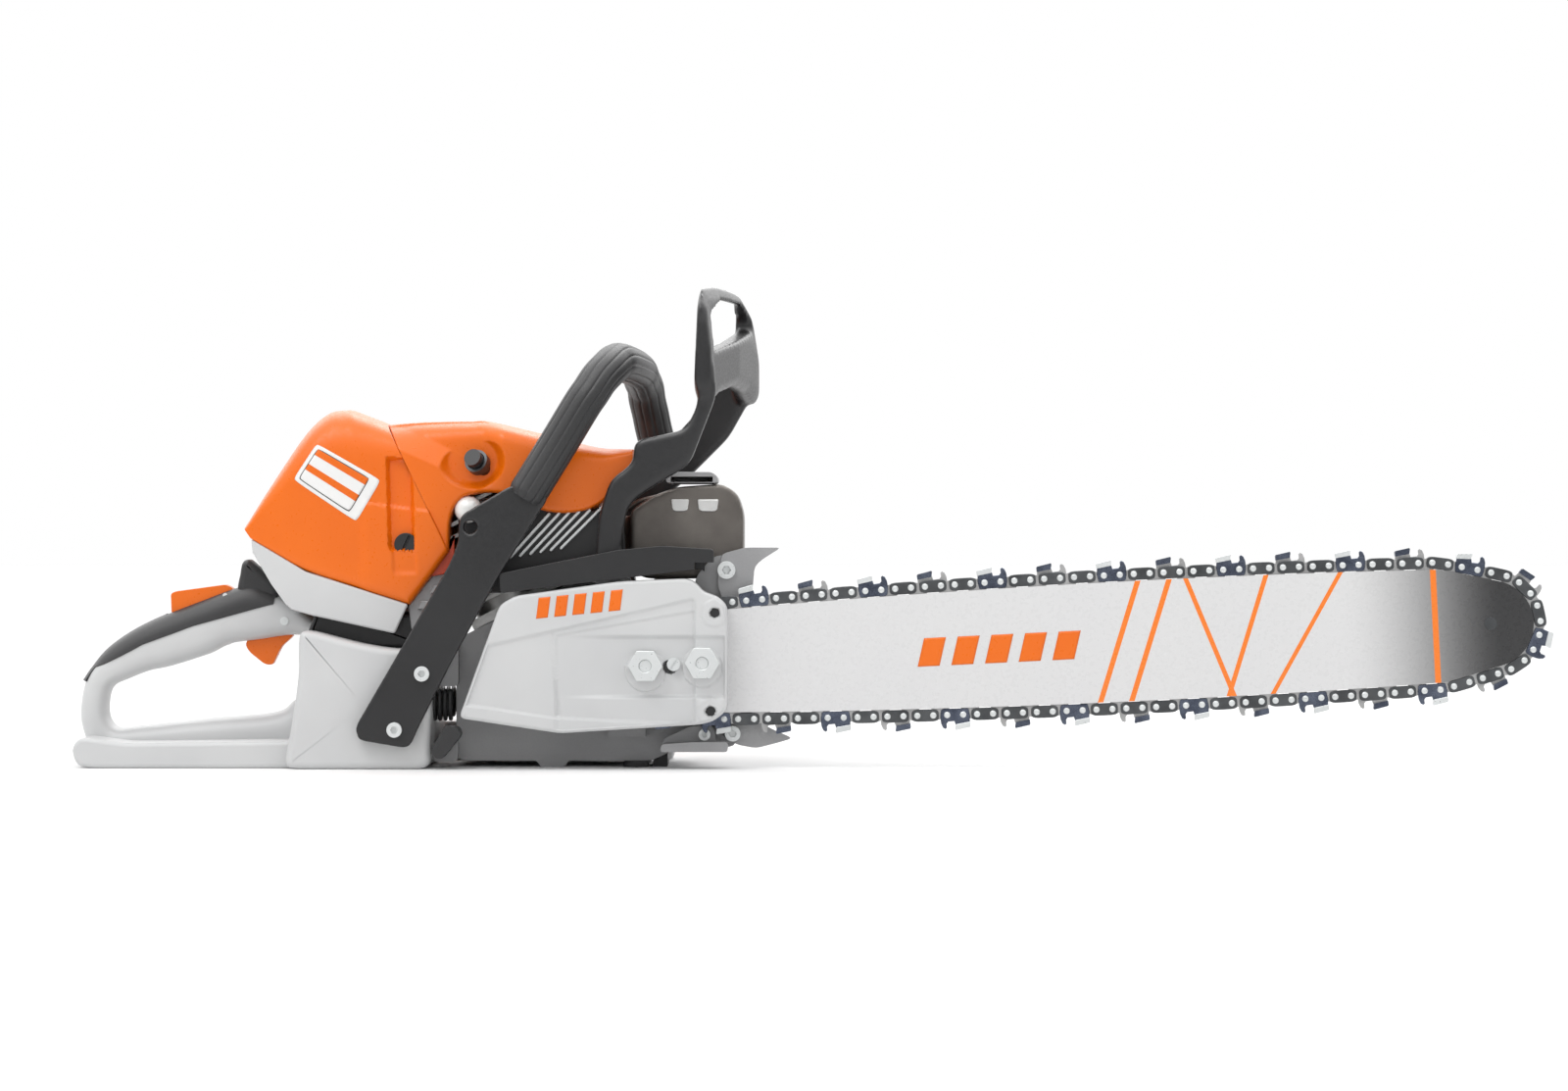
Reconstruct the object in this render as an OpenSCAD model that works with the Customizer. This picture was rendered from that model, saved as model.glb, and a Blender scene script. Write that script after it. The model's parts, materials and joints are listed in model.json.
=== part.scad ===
/* [Guide bar and chain] */
// Angle that the guide bar points up from level
bar_tilt = 2.8; // [2:0.1:3.5]
// Half width of the guide bar at its widest
bar_half = 38.3; // [37:0.1:39]
// Distance from the crankshaft to the centre of the bar nose
nose_x = 600; // [590:1:610]
// Radius of the bar nose
nose_r = 27.6; // [26:0.1:29]
// Number of drive links in the chain loop
drive_links = 72; // [70:1:74]
/* [Engine] */
// Height of the crankshaft above the ground
crank_z = 63.2; // [62:0.1:65]
// Piston travel
stroke = 35; // [30:1:36]
// Cylinder bore radius
bore_r = 25; // [23:0.5:26]
// Backward lean of the cylinder
cyl_lean = 27; // [24:1:30]
/* [Handles] */
// Radius of the front handle's rubber sleeve
sleeve_r = 13.5; // [12.5:0.25:14]
// Half width of the rear handle
grip_half = 17; // [15:0.5:19]
/* [Covers] */
// Wall thickness of the moulded covers
wall = 3; // [2.5:0.25:3.5]
// Across-flats width of the bar nuts
nut_af = 19; // [17:1:19]
/* [Hidden] */
bar_y = -64;
bar_t = 4.8;
plate_t = 1.6;
link_pitch = 9.525;
link_t = 1.46;
strap_t = 1.3;
rivet_r = 1.75;
gauge_gap = 0.05;
rail_to_rivet = 4.4;
rail_mid_x = 390;
rail_r = 7000;
tail_x = 42;
sprocket_r = 21.3;
guard_pivot = [38, 128];
trigger_pivot = [-175, 93.4];
lockout_pivot = [-214, 110];
lock_screw_at = [-93, 143];
valve_at = [-48, -62, 196.4];
valve_turn = [68, 0, -21];
studs_x = [61.2, 97.2];
fuel_cap_at = [-112, 40];
oil_cap_at = [80, 42];
stop_at = [-146, 58];
rope_z = 29;
starter_r = 53.5;
plug_u = 125;
$fn = 48;

orange = "darkorange";
white = "gainsboro";
black = [0.16, 0.16, 0.17];
cast = [0.46, 0.46, 0.46];
steel = "silver";

// A corner of an outline drawn as a short parabola
function corner(a, b, c, r, n) = let (
    u = (a - b) / norm(a - b),
    v = (c - b) / norm(c - b),
    d = min(r, 0.45 * norm(a - b), 0.45 * norm(c - b)))
    [for (i = [0:n]) b + d * (pow(1 - i / n, 2) * u + pow(i / n, 2) * v)];
function rounded(p, r = 6, n = 3) =
    [for (i = [0:len(p) - 1]) each corner(p[(i + len(p) - 1) % len(p)], p[i], p[(i + 1) % len(p)], r, n)];
function arc(c, r, a0, a1, n) = [for (i = [0:n]) c + r * [cos(a0 + (a1 - a0) * i / n), sin(a0 + (a1 - a0) * i / n)]];

// An outline in the X-Z plane made a solid from y0 to y1
module plate(p, y0, y1) {
    translate([0, y1, 0]) rotate([90, 0, 0]) linear_extrude(y1 - y0) polygon(p);
}
// A round bar along Y
module round_y(x, z, r, y0, y1) {
    translate([x, y1, z]) rotate([90, 0, 0]) cylinder(h = y1 - y0, r = r);
}
module ring_y(x, z, r, hole, y0, y1) {
    difference() {
        round_y(x, z, r, y0, y1);
        round_y(x, z, hole, y0 - 1, y1 + 1);
    }
}
module block(x0, x1, y0, y1, z0, z1) {
    translate([x0, y0, z0]) cube([x1 - x0, y1 - y0, z1 - z0]);
}
// The frame of the leaning cylinder: Z runs from the crankshaft up the bore
module leaning() {
    translate([0, 0, crank_z]) rotate([0, -cyl_lean, 0]) children();
}
// The frame of the guide bar: X runs from the crankshaft to the nose
module along_bar() {
    translate([0, bar_y, crank_z]) rotate([0, -bar_tilt, 0]) children();
}
function on_bar(x, h = 0) = [x * cos(bar_tilt) - h * sin(bar_tilt), crank_z + x * sin(bar_tilt) + h * cos(bar_tilt)];
// A skin over rings of points, closed at both ends
module skin(rings) {
    n = len(rings[0]);
    m = len(rings);
    polyhedron(
        points = [for (r = rings) each r],
        faces = concat(
            [[for (j = [0:n - 1]) j]],
            [for (i = [0:m - 2]) for (j = [0:n - 1]) [i * n + j, (i + 1) * n + j, (i + 1) * n + (j + 1) % n]],
            [for (i = [0:m - 2]) for (j = [0:n - 1]) [i * n + j, (i + 1) * n + (j + 1) % n, i * n + (j + 1) % n]],
            [[for (j = [n - 1:-1:0]) (m - 1) * n + j]]));
}
// A tube of radius r along a list of points
function unit(v) = v / norm(v);
function tangent(p, i) = unit(p[min(i + 1, len(p) - 1)] - p[max(i - 1, 0)]);
function tube_rings(p, r, n) = [for (i = [0:len(p) - 1]) let (
    t = tangent(p, i),
    a = unit(cross(t, [1, 0, 0])),
    b = cross(t, a))
    [for (j = [0:n - 1]) p[i] + r * (cos(j * 360 / n) * a + sin(j * 360 / n) * b)]];

// ---- Rear handle and tank -------------------------------------------------
// The line where the soft grip meets the housing
grip_line = [[-305, 56], [-286, 67], [-266, 78], [-234, 90], [-202, 99], [-181, 105]];
housing_low = [[-164, 97], [-145, 85], [-102, 77], [-77, 76], [-77, 4], [-81, 0], [-234, 0], [-274, 2],
    [-296, 4], [-304, 8], [-307, 12], [-307.6, 41]];
d_opening = rounded([[-290, 30], [-289, 50], [-277, 56], [-250, 64], [-225, 72], [-214, 78], [-170, 84],
    [-157, 81], [-156, 68], [-163, 50], [-182, 34], [-271, 25]], 7);
tongue = rounded([[-84, 0], [76, 0], [76, 22], [46, 22], [42, 8.6], [-54, 8.6], [-64, 26], [-84, 26]], 4);
tank_room = rounded([[-146, 10], [-82, 10], [-82, 66], [-146, 72]], 10);
foot_low = rounded([[-304, 5], [-286, 0], [-120, 0], [-120, 20], [-180, 22], [-272, 18], [-300, 22]], 4);
trigger_slot = [[-211, 56], [-211, 91], [-196, 97], [-181, 101.5], [-167, 96.5], [-165, 84], [-166, 56]];

module tank_housing() {
    color(white) difference() {
        union() {
            plate(concat(grip_line, housing_low), -grip_half, grip_half);
            plate(rounded([[-160, 0], [-77, 0], [-77, 75], [-102, 76], [-145, 84], [-160, 93]], 6), -76, 60);
            plate(foot_low, -62, 45);
            plate(tongue, 64, 92);
            block(-92, -78, 50, 92, 0, 26);
            for (p = bracket_screws) round_y(p[0], p[1], 9, -78, -70);
        }
        plate(d_opening, -80, 80);
        plate(trigger_slot, -6, 6);
        plate(tank_room, -68, 52);
        round_y(trigger_pivot[0], trigger_pivot[1], 2.7, -20, 20);
        round_y(fuel_cap_at[0], fuel_cap_at[1], 17.4, 48, 61);
        round_y(stop_at[0], stop_at[1], 4.1, 40, 61);
        for (p = bracket_screws) round_y(p[0], p[1], 2.5, -80, -69);
        translate([59, 78, 10]) cylinder(h = 20, r = 11.5);
    }
}
grip_top = [[-203, 116], [-204.5, 128.6], [-201.5, 133.5], [-197.5, 132], [-189.5, 125], [-182, 118], [-180, 112]];
grip_back = [[-250, 98], [-266, 91], [-282, 82], [-293, 73], [-302, 62]];
module rear_grip() {
    color(black) difference() {
        union() {
            plate(concat([[-181, 105]], [for (i = [4:-1:0]) grip_line[i]], [for (i = [4:-1:0]) grip_back[i]],
                [[-209, 113], [-203, 116], [-181, 111]]), -grip_half, grip_half);
            plate(concat(grip_top, [[-181, 109]]), -12, 12);
        }
        plate([[-253, 89.5], [-253, 125], [-205.8, 125], [-205.8, 105], [-220, 101]], -7.5, 7.5);
        round_y(lockout_pivot[0], lockout_pivot[1], 1.5, -13, 13);
    }
}
module throttle_trigger() {
    color(orange) difference() {
        plate(rounded([[-202, 78], [-199, 73], [-189, 65], [-184, 64.5], [-178, 77], [-170, 84], [-169.5, 95],
            [-177, 98.6], [-186, 92], [-197, 86]], 3), -5.2, 5.2);
        round_y(trigger_pivot[0], trigger_pivot[1], 2.75, -6, 6);
    }
}
module throttle_lockout() {
    color(orange) difference() {
        plate(rounded([[-249.5, 97.5], [-250, 111], [-247, 112.5], [-214, 117], [-209, 114], [-210, 107],
            [-220, 106.5]], 2), -6.7, 6.7);
        round_y(lockout_pivot[0], lockout_pivot[1], 1.55, -8, 8);
    }
}
module stop_lever() {
    color(orange) {
        round_y(stop_at[0], stop_at[1], 4, 44, 60.4);
        round_y(stop_at[0], stop_at[1], 8, 60.4, 66);
        plate(rounded([[-150, 64], [-142, 64], [-143, 82], [-149, 82]], 3), 60.8, 65);
    }
}
module fuel_cap() {
    color(black) difference() {
        union() {
            round_y(fuel_cap_at[0], fuel_cap_at[1], 17.3, 48, 60.4);
            round_y(fuel_cap_at[0], fuel_cap_at[1], 22, 60.4, 69);
        }
        block(fuel_cap_at[0] - 23, fuel_cap_at[0] + 23, 64.3, 70, fuel_cap_at[1] - 7, fuel_cap_at[1] + 7);
        round_y(fuel_cap_at[0], fuel_cap_at[1], 13, 46, 56);
    }
}
module fuel_cap_bail() {
    color(black) {
        plate(rounded([for (s = [[-1, -1], [1, -1], [1, 1], [-1, 1]])
            fuel_cap_at + [19 * s[0], 6 * s[1]]], 5), 65.3, 70);
        translate([fuel_cap_at[0] - 17.2, 68.3, fuel_cap_at[1] - 6.5]) cylinder(h = 13, r = 1.5);
    }
}

// ---- Front handle ---------------------------------------------------------
bracket_screws = [[-80.6, 61], [-98, 25.5]];
bracket = rounded([[-2, 178], [-23, 181], [-57, 161], [-57.5, 145], [-63, 131], [-94, 77], [-123, 27], [-121, 19],
    [-89, 13.5], [-83, 27], [-62, 68.5], [-32, 123], [-1, 172]], 5);
handle_path = [[-13, -80, 177], [5, -80, 206], [20, -79, 231], [26, -77, 240], [31, -73, 248], [36, -66, 254],
    [40, -56, 258.5], [43, -45, 260], [47, 0, 260], [51, 50, 259], [53, 64, 256.5], [54, 76, 253], [56, 86, 248],
    [57, 93, 240], [59, 98, 231], [61, 100.5, 221], [65, 103, 205], [70, 104, 150], [72, 103, 90], [71, 101, 60],
    [68, 96, 44], [63, 86, 33], [60, 80, 26], [59, 78, 20]];
function part_of(p, a, b) = [for (i = [a:b]) p[i]];
module handle_frame() {
    color(black) {
        difference() {
            plate(bracket, -86, -78);
            for (p = bracket_screws) round_y(p[0], p[1], 2.6, -95, -70);
            round_y(-50, 154, 4.4, -95, -70);
            skin(tube_rings(part_of(handle_path, 0, 3), 10.05, 12));
        }
        skin(tube_rings(concat([[-13, -80, 177] - [1, 0, 1.6]], part_of(handle_path, 0, 23)), 10, 12));
    }
}
module handle_sleeve() {
    color(black) difference() {
        skin(tube_rings(part_of(handle_path, 1, 17), sleeve_r, 14));
        skin(tube_rings(handle_path, 10.05, 12));
    }
}

// ---- Hand guard and brake -------------------------------------------------
guard_arm = rounded([[28, 121], [31, 162], [38, 184], [53, 195], [53, 209], [86, 216], [94, 232], [93, 262],
    [104, 262], [106, 238], [89, 194], [56, 173.5], [49, 166], [45, 144], [48, 121]], 6);
// The shield across the top: [y, rear x, front x, bottom z, top z]
shield = [[-79, 91.5, 101.5, 242, 292], [-75, 91.5, 103, 236, 302], [-64, 92, 104, 232, 309], [-40, 97, 110, 240, 310],
    [0, 106, 120, 246, 309.5], [40, 112, 127, 243, 308], [62, 115, 131, 238, 302], [74, 116, 132.6, 236, 290],
    [79, 119, 131, 242, 280]];
// The window through the shield: [y, z]
window = rounded([[-62, 266], [-62, 290], [-30, 301], [40, 301], [58, 292], [58, 284], [0, 275]], 4);
function shield_ring(s) = [[s[1], s[0], s[3] + 8], [s[1] + 3, s[0], s[3]], [s[2] - 3, s[0], s[3]],
    [s[2], s[0], s[3] + 6], [s[2], s[0], (s[3] + s[4]) / 2], [s[2] - 3, s[0], s[4] - 10], [s[2] - 8, s[0], s[4] - 1],
    [s[1] + 5, s[0], s[4]], [s[1] + 2, s[0], s[4] - 8]];
far_arm = rounded([[29, 120], [31, 150], [42, 180], [68, 206], [95, 236], [106, 262], [129, 262], [130, 246],
    [112, 214], [84, 186], [56, 164], [47, 146], [47, 120]], 6);
module hand_guard() {
    color(black) difference() {
        union() {
            plate(guard_arm, -75, -66);
            plate(far_arm, 68, 76);
            skin([for (i = [len(shield) - 1:-1:0]) shield_ring(shield[i])]);
            round_y(guard_pivot[0], guard_pivot[1], 8, -75, -62);
            round_y(guard_pivot[0], guard_pivot[1], 8, 66, 76);
        }
        round_y(guard_pivot[0], guard_pivot[1], 4.06, -80, 80);
        translate([80, 0, 0]) rotate([90, 0, 90]) linear_extrude(60) polygon(window);
    }
}
brake_outline = rounded([[-32, 124.5], [25, 136], [44, 139.5], [71, 142], [88, 141], [104, 140], [104, 119],
    [96, 127.5], [-31, 112]], 2);
module lever_pins() {
    color(steel) {
        round_y(trigger_pivot[0], trigger_pivot[1], 2.7, -grip_half - 0.5, grip_half + 0.5);
        round_y(lockout_pivot[0], lockout_pivot[1], 1.5, -12.5, 12.5);
        round_y(guard_pivot[0], guard_pivot[1], 4, -79.5, -50);
        round_y(guard_pivot[0], guard_pivot[1], 4, 55, 77);
        round_y(guard_pivot[0], guard_pivot[1], 6.5, 77, 79);
    }
}
module brake_cover() {
    color(black) difference() {
        plate(brake_outline, -84, -52.5);
        plate([[-28, 110], [-29, 122], [25, 133], [44, 136.5], [71, 139], [92, 138], [92, 124], [92, 110]], -80, -44);
        block(23, 56, -78.5, -44, 118, 145);
        block(92, 106, -85, -59, 115, 131.5);
        block(98, 106, -60, -44, 115, 145);
    }
}
module brake_band() {
    color(steel) {
        ring_y(0, crank_z, 38.6, 37.4, -55, -45);
        block(-20, 24, -51, -49, crank_z + 38, crank_z + 40);
    }
}

// ---- Crankcase and engine -------------------------------------------------
case_side = rounded([[-62, 6], [-62, 82], [15.2, 120.3], [30, 118], [104, 118], [104, 60], [100, 22], [64, 4], [10, 4],
    [8, 0], [-8, 0], [-10, 4], [-56, 4]], 5, 2);
module crank_room(y0, y1) {
    round_y(0, crank_z, 30.5, y0, y1);
}
module bore_room() {
    leaning() cylinder(h = 60, r = 26);
}
module crankcase_right() {
    color(cast) difference() {
        union() {
            plate(case_side, -40, 0);
            plate(rounded([[46, 38], [46, 92], [106, 96], [106, 44]], 6), -59, -39);
            plate(rounded([[40, 46], [40, 86], [112, 90], [112, 49]], 6), -61.6, -59);
            plate(rounded([[90, 100], [118, 100], [120, 118], [120, 136], [104, 136], [92, 122]], 5), -51.7, -45.6);
            plate(rounded([[90, 98], [90, 116], [117, 116], [117, 98]], 5), -51.7, -38);
            plate(rounded([[84, 12], [92, 34], [118, 34], [118, 14], [104, 12]], 4), -51.7, -38);
            plate(rounded([[-60, 4], [-76, 4], [-76, 14], [-60, 18]], 3), -56, -38);
            plate(rounded([[-60, 52], [-73, 52], [-73, 78], [-60, 84]], 3), -50, -38);
            plate(rounded([[28, 112], [28, 136], [48, 136], [52, 112]], 6), -55, -39);
        }
        crank_room(-18, 1);
        bore_room();
        round_y(0, crank_z, 13.05, -35, 1);
        round_y(0, crank_z, 8.2, -41, 1);
        round_y(guard_pivot[0], guard_pivot[1], 4, -60, -50);
        for (x = studs_x) let (p = on_bar(x)) round_y(p[0], p[1], 4, -70, -45);
        round_y(112, 126.6, 2.5, -60, -40);
        round_y(112, 22, 2.5, -60, -40);
    }
}
module crankcase_left() {
    color(cast) difference() {
        union() {
            plate(case_side, 0, 40);
            difference() {
                ring_y(0, crank_z, 57, 52, 39, 63.5);
                block(-26, 26, 30, 70, crank_z + 40, crank_z + 60);
            }
            plate(rounded([[24, 112], [29, 138], [47, 138], [52, 112]], 6), 36, 63.5);
            round_y(oil_cap_at[0], oil_cap_at[1], 20, 39, 46);
        }
        crank_room(-1, 18);
        bore_room();
        round_y(0, crank_z, 13.05, -1, 35);
        round_y(0, crank_z, 8.2, -1, 41);
        round_y(0, crank_z, 49, 40.5, 64);
        round_y(guard_pivot[0], guard_pivot[1], 4, 55, 70);
        plate(rounded([[62, 22], [62, 108], [96, 108], [96, 26]], 6), 4, 32);
        round_y(oil_cap_at[0], oil_cap_at[1], 15.4, 30, 47);
    }
}
module rubber_pads() {
    color(black) {
        for (y = [-40, 20]) translate([54, y, 0]) cylinder(h = 4, r = 8);
        plate(rounded([[64.5, 0], [74, 0], [74, 8.6], [64.5, 3.8]], 1), -38, -2);
        plate(rounded([[-66, 28.5], [-75.5, 12], [-72, 7], [-68, 7], [-56, 22], [-58, 27]], 2), -84, -62);
    }
}
module oil_cap() {
    color(black) {
        round_y(oil_cap_at[0], oil_cap_at[1], 15.3, 34, 46.4);
        difference() {
            round_y(oil_cap_at[0], oil_cap_at[1], 19, 46.4, 54);
            block(oil_cap_at[0] - 20, oil_cap_at[0] + 20, 51, 55, oil_cap_at[1] + 4, oil_cap_at[1] + 20);
            block(oil_cap_at[0] - 20, oil_cap_at[0] + 20, 51, 55, oil_cap_at[1] - 20, oil_cap_at[1] - 4);
        }
    }
}
module main_bearings() {
    color(steel) for (y = [[-34, -20], [20, 34]]) ring_y(0, crank_z, 13, 8.05, y[0], y[1]);
}
module crankshaft() {
    color(steel) {
        round_y(0, crank_z, 8, -44, -17);
        round_y(0, crank_z, 5, -72, -44);
        round_y(0, crank_z, 28, -17, -7);
        round_y(0, crank_z, 28, 7, 17);
        round_y(0, crank_z, 8, 17, 43);
        round_y(0, crank_z, 5, 43, 63.5);
    }
}
module connecting_rod() {
    pin_u = stroke / 2;
    color(steel) leaning() difference() {
        union() {
            translate([0, 6, pin_u]) rotate([90, 0, 0]) cylinder(h = 12, r = 9);
            translate([0, 6, pin_u + 65.5]) rotate([90, 0, 0]) cylinder(h = 12, r = 8);
            translate([-4, -3, pin_u + 6]) cube([8, 6, 53.5]);
        }
        translate([0, 9, pin_u]) rotate([90, 0, 0]) cylinder(h = 18, r = 6);
        translate([0, 9, pin_u + 65.5]) rotate([90, 0, 0]) cylinder(h = 18, r = 5.1);
    }
    color(steel) leaning() translate([0, 6.5, pin_u]) rotate([90, 0, 0]) cylinder(h = 13, r = 5.95);
}
module piston() {
    top_u = stroke / 2 + 65.5 + 20;
    color(steel) leaning() difference() {
        translate([0, 0, top_u - 35]) cylinder(h = 35, r = bore_r - 0.06);
        translate([0, 0, top_u - 36]) cylinder(h = 31, r = bore_r - 3.5);
        translate([0, 30, top_u - 20]) rotate([90, 0, 0]) cylinder(h = 60, r = 5);
        for (u = [4, 9]) translate([0, 0, top_u - u]) difference() {
            cylinder(h = 1.6, r = bore_r + 1);
            translate([0, 0, -1]) cylinder(h = 4, r = bore_r - 2);
        }
    }
    color(steel) leaning() {
        for (u = [4, 9]) translate([0, 0, top_u - u + 0.02]) difference() {
            cylinder(h = 1.55, r = bore_r - 0.02);
            translate([0, 0, -1]) cylinder(h = 4, r = bore_r - 1.98);
        }
        translate([0, 20, top_u - 20]) rotate([90, 0, 0]) cylinder(h = 40, r = 4.95);
    }
}
module cylinder_block() {
    color(steel) difference() {
        leaning() difference() {
            union() {
                translate([-34, -36, 45]) cube([68, 72, 6]);
                translate([0, 0, 50]) cylinder(h = 72, r = 31);
                for (u = [58:7.5:121]) translate([-40, -42, u]) cube([80, 84, 2.4]);
                translate([0, 0, 118]) cylinder(h = 7, r = 16);
                translate([-50, -20, 76]) cube([30, 40, 30]);
                translate([20, -20, 68]) cube([24, 40, 28]);
            }
            translate([0, 0, 40]) cylinder(h = 65.5, r = bore_r);
            translate([0, 0, 100]) cylinder(h = 30, r = 7);
            translate([-60, 0, 90]) rotate([0, 90, 0]) cylinder(h = 40, r = 12);
            translate([20, 0, 82]) rotate([0, 90, 0]) cylinder(h = 40, r = 12);
        }
        valve_frame() cylinder(h = 90, r = 5, center = true);
    }
}
module spark_plug() {
    color(white) leaning() {
        translate([0, 0, 108]) cylinder(h = 17, r = 7);
        translate([0, 0, plug_u]) cylinder(h = 7, r = 10, $fn = 6);
        translate([0, 0, plug_u + 7]) cylinder(h = 14, r = 5);
    }
}
module plug_boot() {
    color(black) leaning() difference() {
        translate([0, 0, plug_u + 8]) cylinder(h = 22, r = 9);
        translate([0, 0, plug_u + 7]) cylinder(h = 14, r = 5);
    }
}
module valve_frame() {
    translate(valve_at) rotate(valve_turn) children();
}
module decompression_valve() {
    color(cast) valve_frame() difference() {
        union() {
            translate([0, 0, -6]) cylinder(h = 6, r = 7.6);
            translate([0, 0, -34]) cylinder(h = 28, r = 4.9);
        }
        translate([0, 0, -20]) cylinder(h = 21, r = 3.1);
        translate([0, 0, -4.5]) cylinder(h = 8, r = 6);
    }
}
module decompression_button() {
    color(black) valve_frame() {
        translate([0, 0, 0]) cylinder(h = 6, r = 5.6);
        translate([0, 0, -14]) cylinder(h = 14.5, r = 3.05);
    }
}
module ignition_module() {
    color(black) {
        block(-20, 20, 44, 60, crank_z + 47, crank_z + 49);
        block(-16, 16, 42, 61, crank_z + 49, crank_z + 53.5);
    }
}
module flywheel() {
    color(cast) {
        difference() {
            round_y(0, crank_z, 46, 43, 50);
            round_y(0, crank_z, 5, 40, 70);
        }
        ring_y(0, crank_z, 12, 5, 50, 59);
        for (a = [0:30:330]) translate([0, 54.5, crank_z]) rotate([0, a, 0])
            translate([16, -5, -1.2]) cube([28, 9.5, 2.4]);
    }
}
module clutch_hub() {
    color(cast) difference() {
        round_y(0, crank_z, 33, -56, -45);
        round_y(0, crank_z, 5, -60, -40);
        for (a = [30, 150, 270]) translate([0, -50, crank_z]) rotate([0, a, 0]) translate([10, -8, -0.6])
            cube([30, 16, 1.2]);
    }
}
module clutch_drum() {
    color(cast) difference() {
        round_y(0, crank_z, 36.6, -59, -44.5);
        round_y(0, crank_z, 34.2, -56.8, -40);
        round_y(0, crank_z, 5.4, -62, -50);
    }
}
module rim_sprocket() {
    color(steel) difference() {
        union() {
            ring_y(0, crank_z, 16.6, 5.4, -62.9, -59);
            ring_y(0, crank_z, 16.6, 5.4, -69, -65.1);
            ring_y(0, crank_z, 13.2, 5.4, -65.1, -62.9);
        }
        for (a = [0:360 / 7:359]) translate([0, -64, crank_z]) rotate([0, a, 0]) translate([10.5, 0, 0])
            rotate([90, 0, 0]) cylinder(h = 20, r = 1.5, center = true);
    }
}
module oil_pump() {
    color(cast) block(36, 60, -48, -40, 20, 33);
}

// ---- Covers ---------------------------------------------------------------
module shoulders() {
    translate([-250, 0, 0]) rotate([90, 0, 90]) linear_extrude(350)
        polygon(rounded([[-60, 60], [-60, 231], [58, 231], [58, 60]], 34, 5));
}
module inner_shoulders() {
    translate([-250, 0, 0]) rotate([90, 0, 90]) linear_extrude(350)
        polygon(rounded([[wall - 60, 50], [wall - 60, 231 - wall], [58 - wall, 231 - wall], [58 - wall, 50]], 32, 5));
}
cover_side = rounded([[-192, 147], [-197.5, 150], [-157.5, 215.6], [-145, 228], [-133, 230], [-106.3, 220.4],
    [-65.4, 137], [-91.2, 105], [-157, 126]], 5);
cover_inside = [[-194, 147], [-153.5, 213], [-142, 225], [-133, 226.5], [-103, 216.5], [-55, 130], [-80, 90],
    [-160, 115]];
channel = [[-104, 197], [-84.5, 197], [-84.5, 80], [-104, 80]];
module filter_cover() {
    color(orange) difference() {
        intersection() {
            plate(cover_side, -60, 58);
            shoulders();
        }
        intersection() {
            plate(cover_inside, wall - 60, 58 - wall);
            inner_shoulders();
            difference() {
                block(-260, 60, -90, 90, 0, 300);
                plate([[-108, 202], [-82, 202], [-82, 70], [-108, 70]], -61, -51);
            }
        }
        plate(channel, -61, -56);
        round_y(lock_screw_at[0], lock_screw_at[1], 4.05, -62, -40);
    }
}
skirt_side = [[-191.8, 146.6], [-157, 125.7], [-91.4, 104.7], [-100, 86], [-153, 97.6], [-166, 101.3], [-170, 105],
    [-179, 117.5], [-191, 138]];
module filter_cover_skirt() {
    color(white) difference() {
        plate(skirt_side, -60, 58);
        plate([[-187.5, 160], [-187.5, 139], [-176, 118.5], [-166.5, 107], [-163, 104], [-160, 70], [-60, 70],
            [-60, 160]], wall - 60, 58 - wall);
    }
}
module cover_lock_screw() {
    color(black) difference() {
        union() {
            round_y(lock_screw_at[0], lock_screw_at[1], 7.3, -60.2, -56.3);
            round_y(lock_screw_at[0], lock_screw_at[1], 4, -56.3, -47);
        }
        translate([lock_screw_at[0], -60, lock_screw_at[1]]) rotate([0, 25, 0]) cube([1.6, 4, 12], center = true);
    }
}
shroud_side = rounded([[-105.8, 220.6], [-42, 222.6], [-8, 214.7], [32, 205], [51, 204], [53, 193], [28.5, 168.5],
    [19, 168], [15, 163], [-6, 165], [-33, 175], [-52, 175], [-61, 170], [-64.5, 163], [-64.6, 137.4]], 3);
module top_shroud() {
    color(orange) difference() {
        intersection() {
            plate(shroud_side, -60, 58);
            shoulders();
        }
        intersection() {
            plate([[-120, 216.8], [-42.5, 219.4], [-9, 211.4], [31, 201.8], [50, 200.6], [60, 120], [-120, 100]],
                wall - 60, 58 - wall);
            inner_shoulders();
        }
        valve_frame() cylinder(h = 60, r = 9, center = true);
    }
}
module filter_base() {
    color(black) leaning() difference() {
        translate([-96, -45, 84]) cube([3, 90, 84]);
        translate([-110, 0, 92]) rotate([0, 90, 0]) cylinder(h = 30, r = 12);
        for (s = [-1, 1]) translate([-100, s * 34, 90]) rotate([0, 90, 0]) cylinder(h = 12, r = 2.2);
    }
}
module air_filter() {
    color("ivory") leaning() difference() {
        translate([-122, -44, 118]) cube([25.8, 88, 47]);
        for (y = [-38:8:36]) translate([-123, y, 122]) cube([16, 4, 39]);
    }
}
module carburettor() {
    color(cast) leaning() difference() {
        union() {
            translate([-92.8, -19, 78]) cube([26, 38, 28]);
            translate([-84, 19, 84]) cube([10, 8, 12]);
        }
        translate([-110, 0, 92]) rotate([0, 90, 0]) cylinder(h = 60, r = 10);
    }
}
module throttle_butterfly() {
    color("gold") leaning() {
        translate([-80, 0, 92]) rotate([90, 0, 0]) cylinder(h = 19.6, r = 2, center = true);
        translate([-80.8, 0, 92]) rotate([0, 90, 0]) cylinder(h = 1.6, r = 9.8);
    }
}
module intake_boot() {
    color(black) leaning() translate([-66.6, 0, 91]) rotate([0, 90, 0]) difference() {
        union() {
            cylinder(h = 16.4, r = 15);
            cylinder(h = 3, r = 18);
            translate([0, 0, 13.4]) cylinder(h = 3, r = 18);
        }
        translate([0, 0, -1]) cylinder(h = 20, r = 11);
    }
}
muffler_side = rounded([[50, 126], [50, 165], [63.5, 174], [80, 180], [109, 182], [119, 176], [123, 163], [123, 121],
    [60, 121]], 4);
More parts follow.
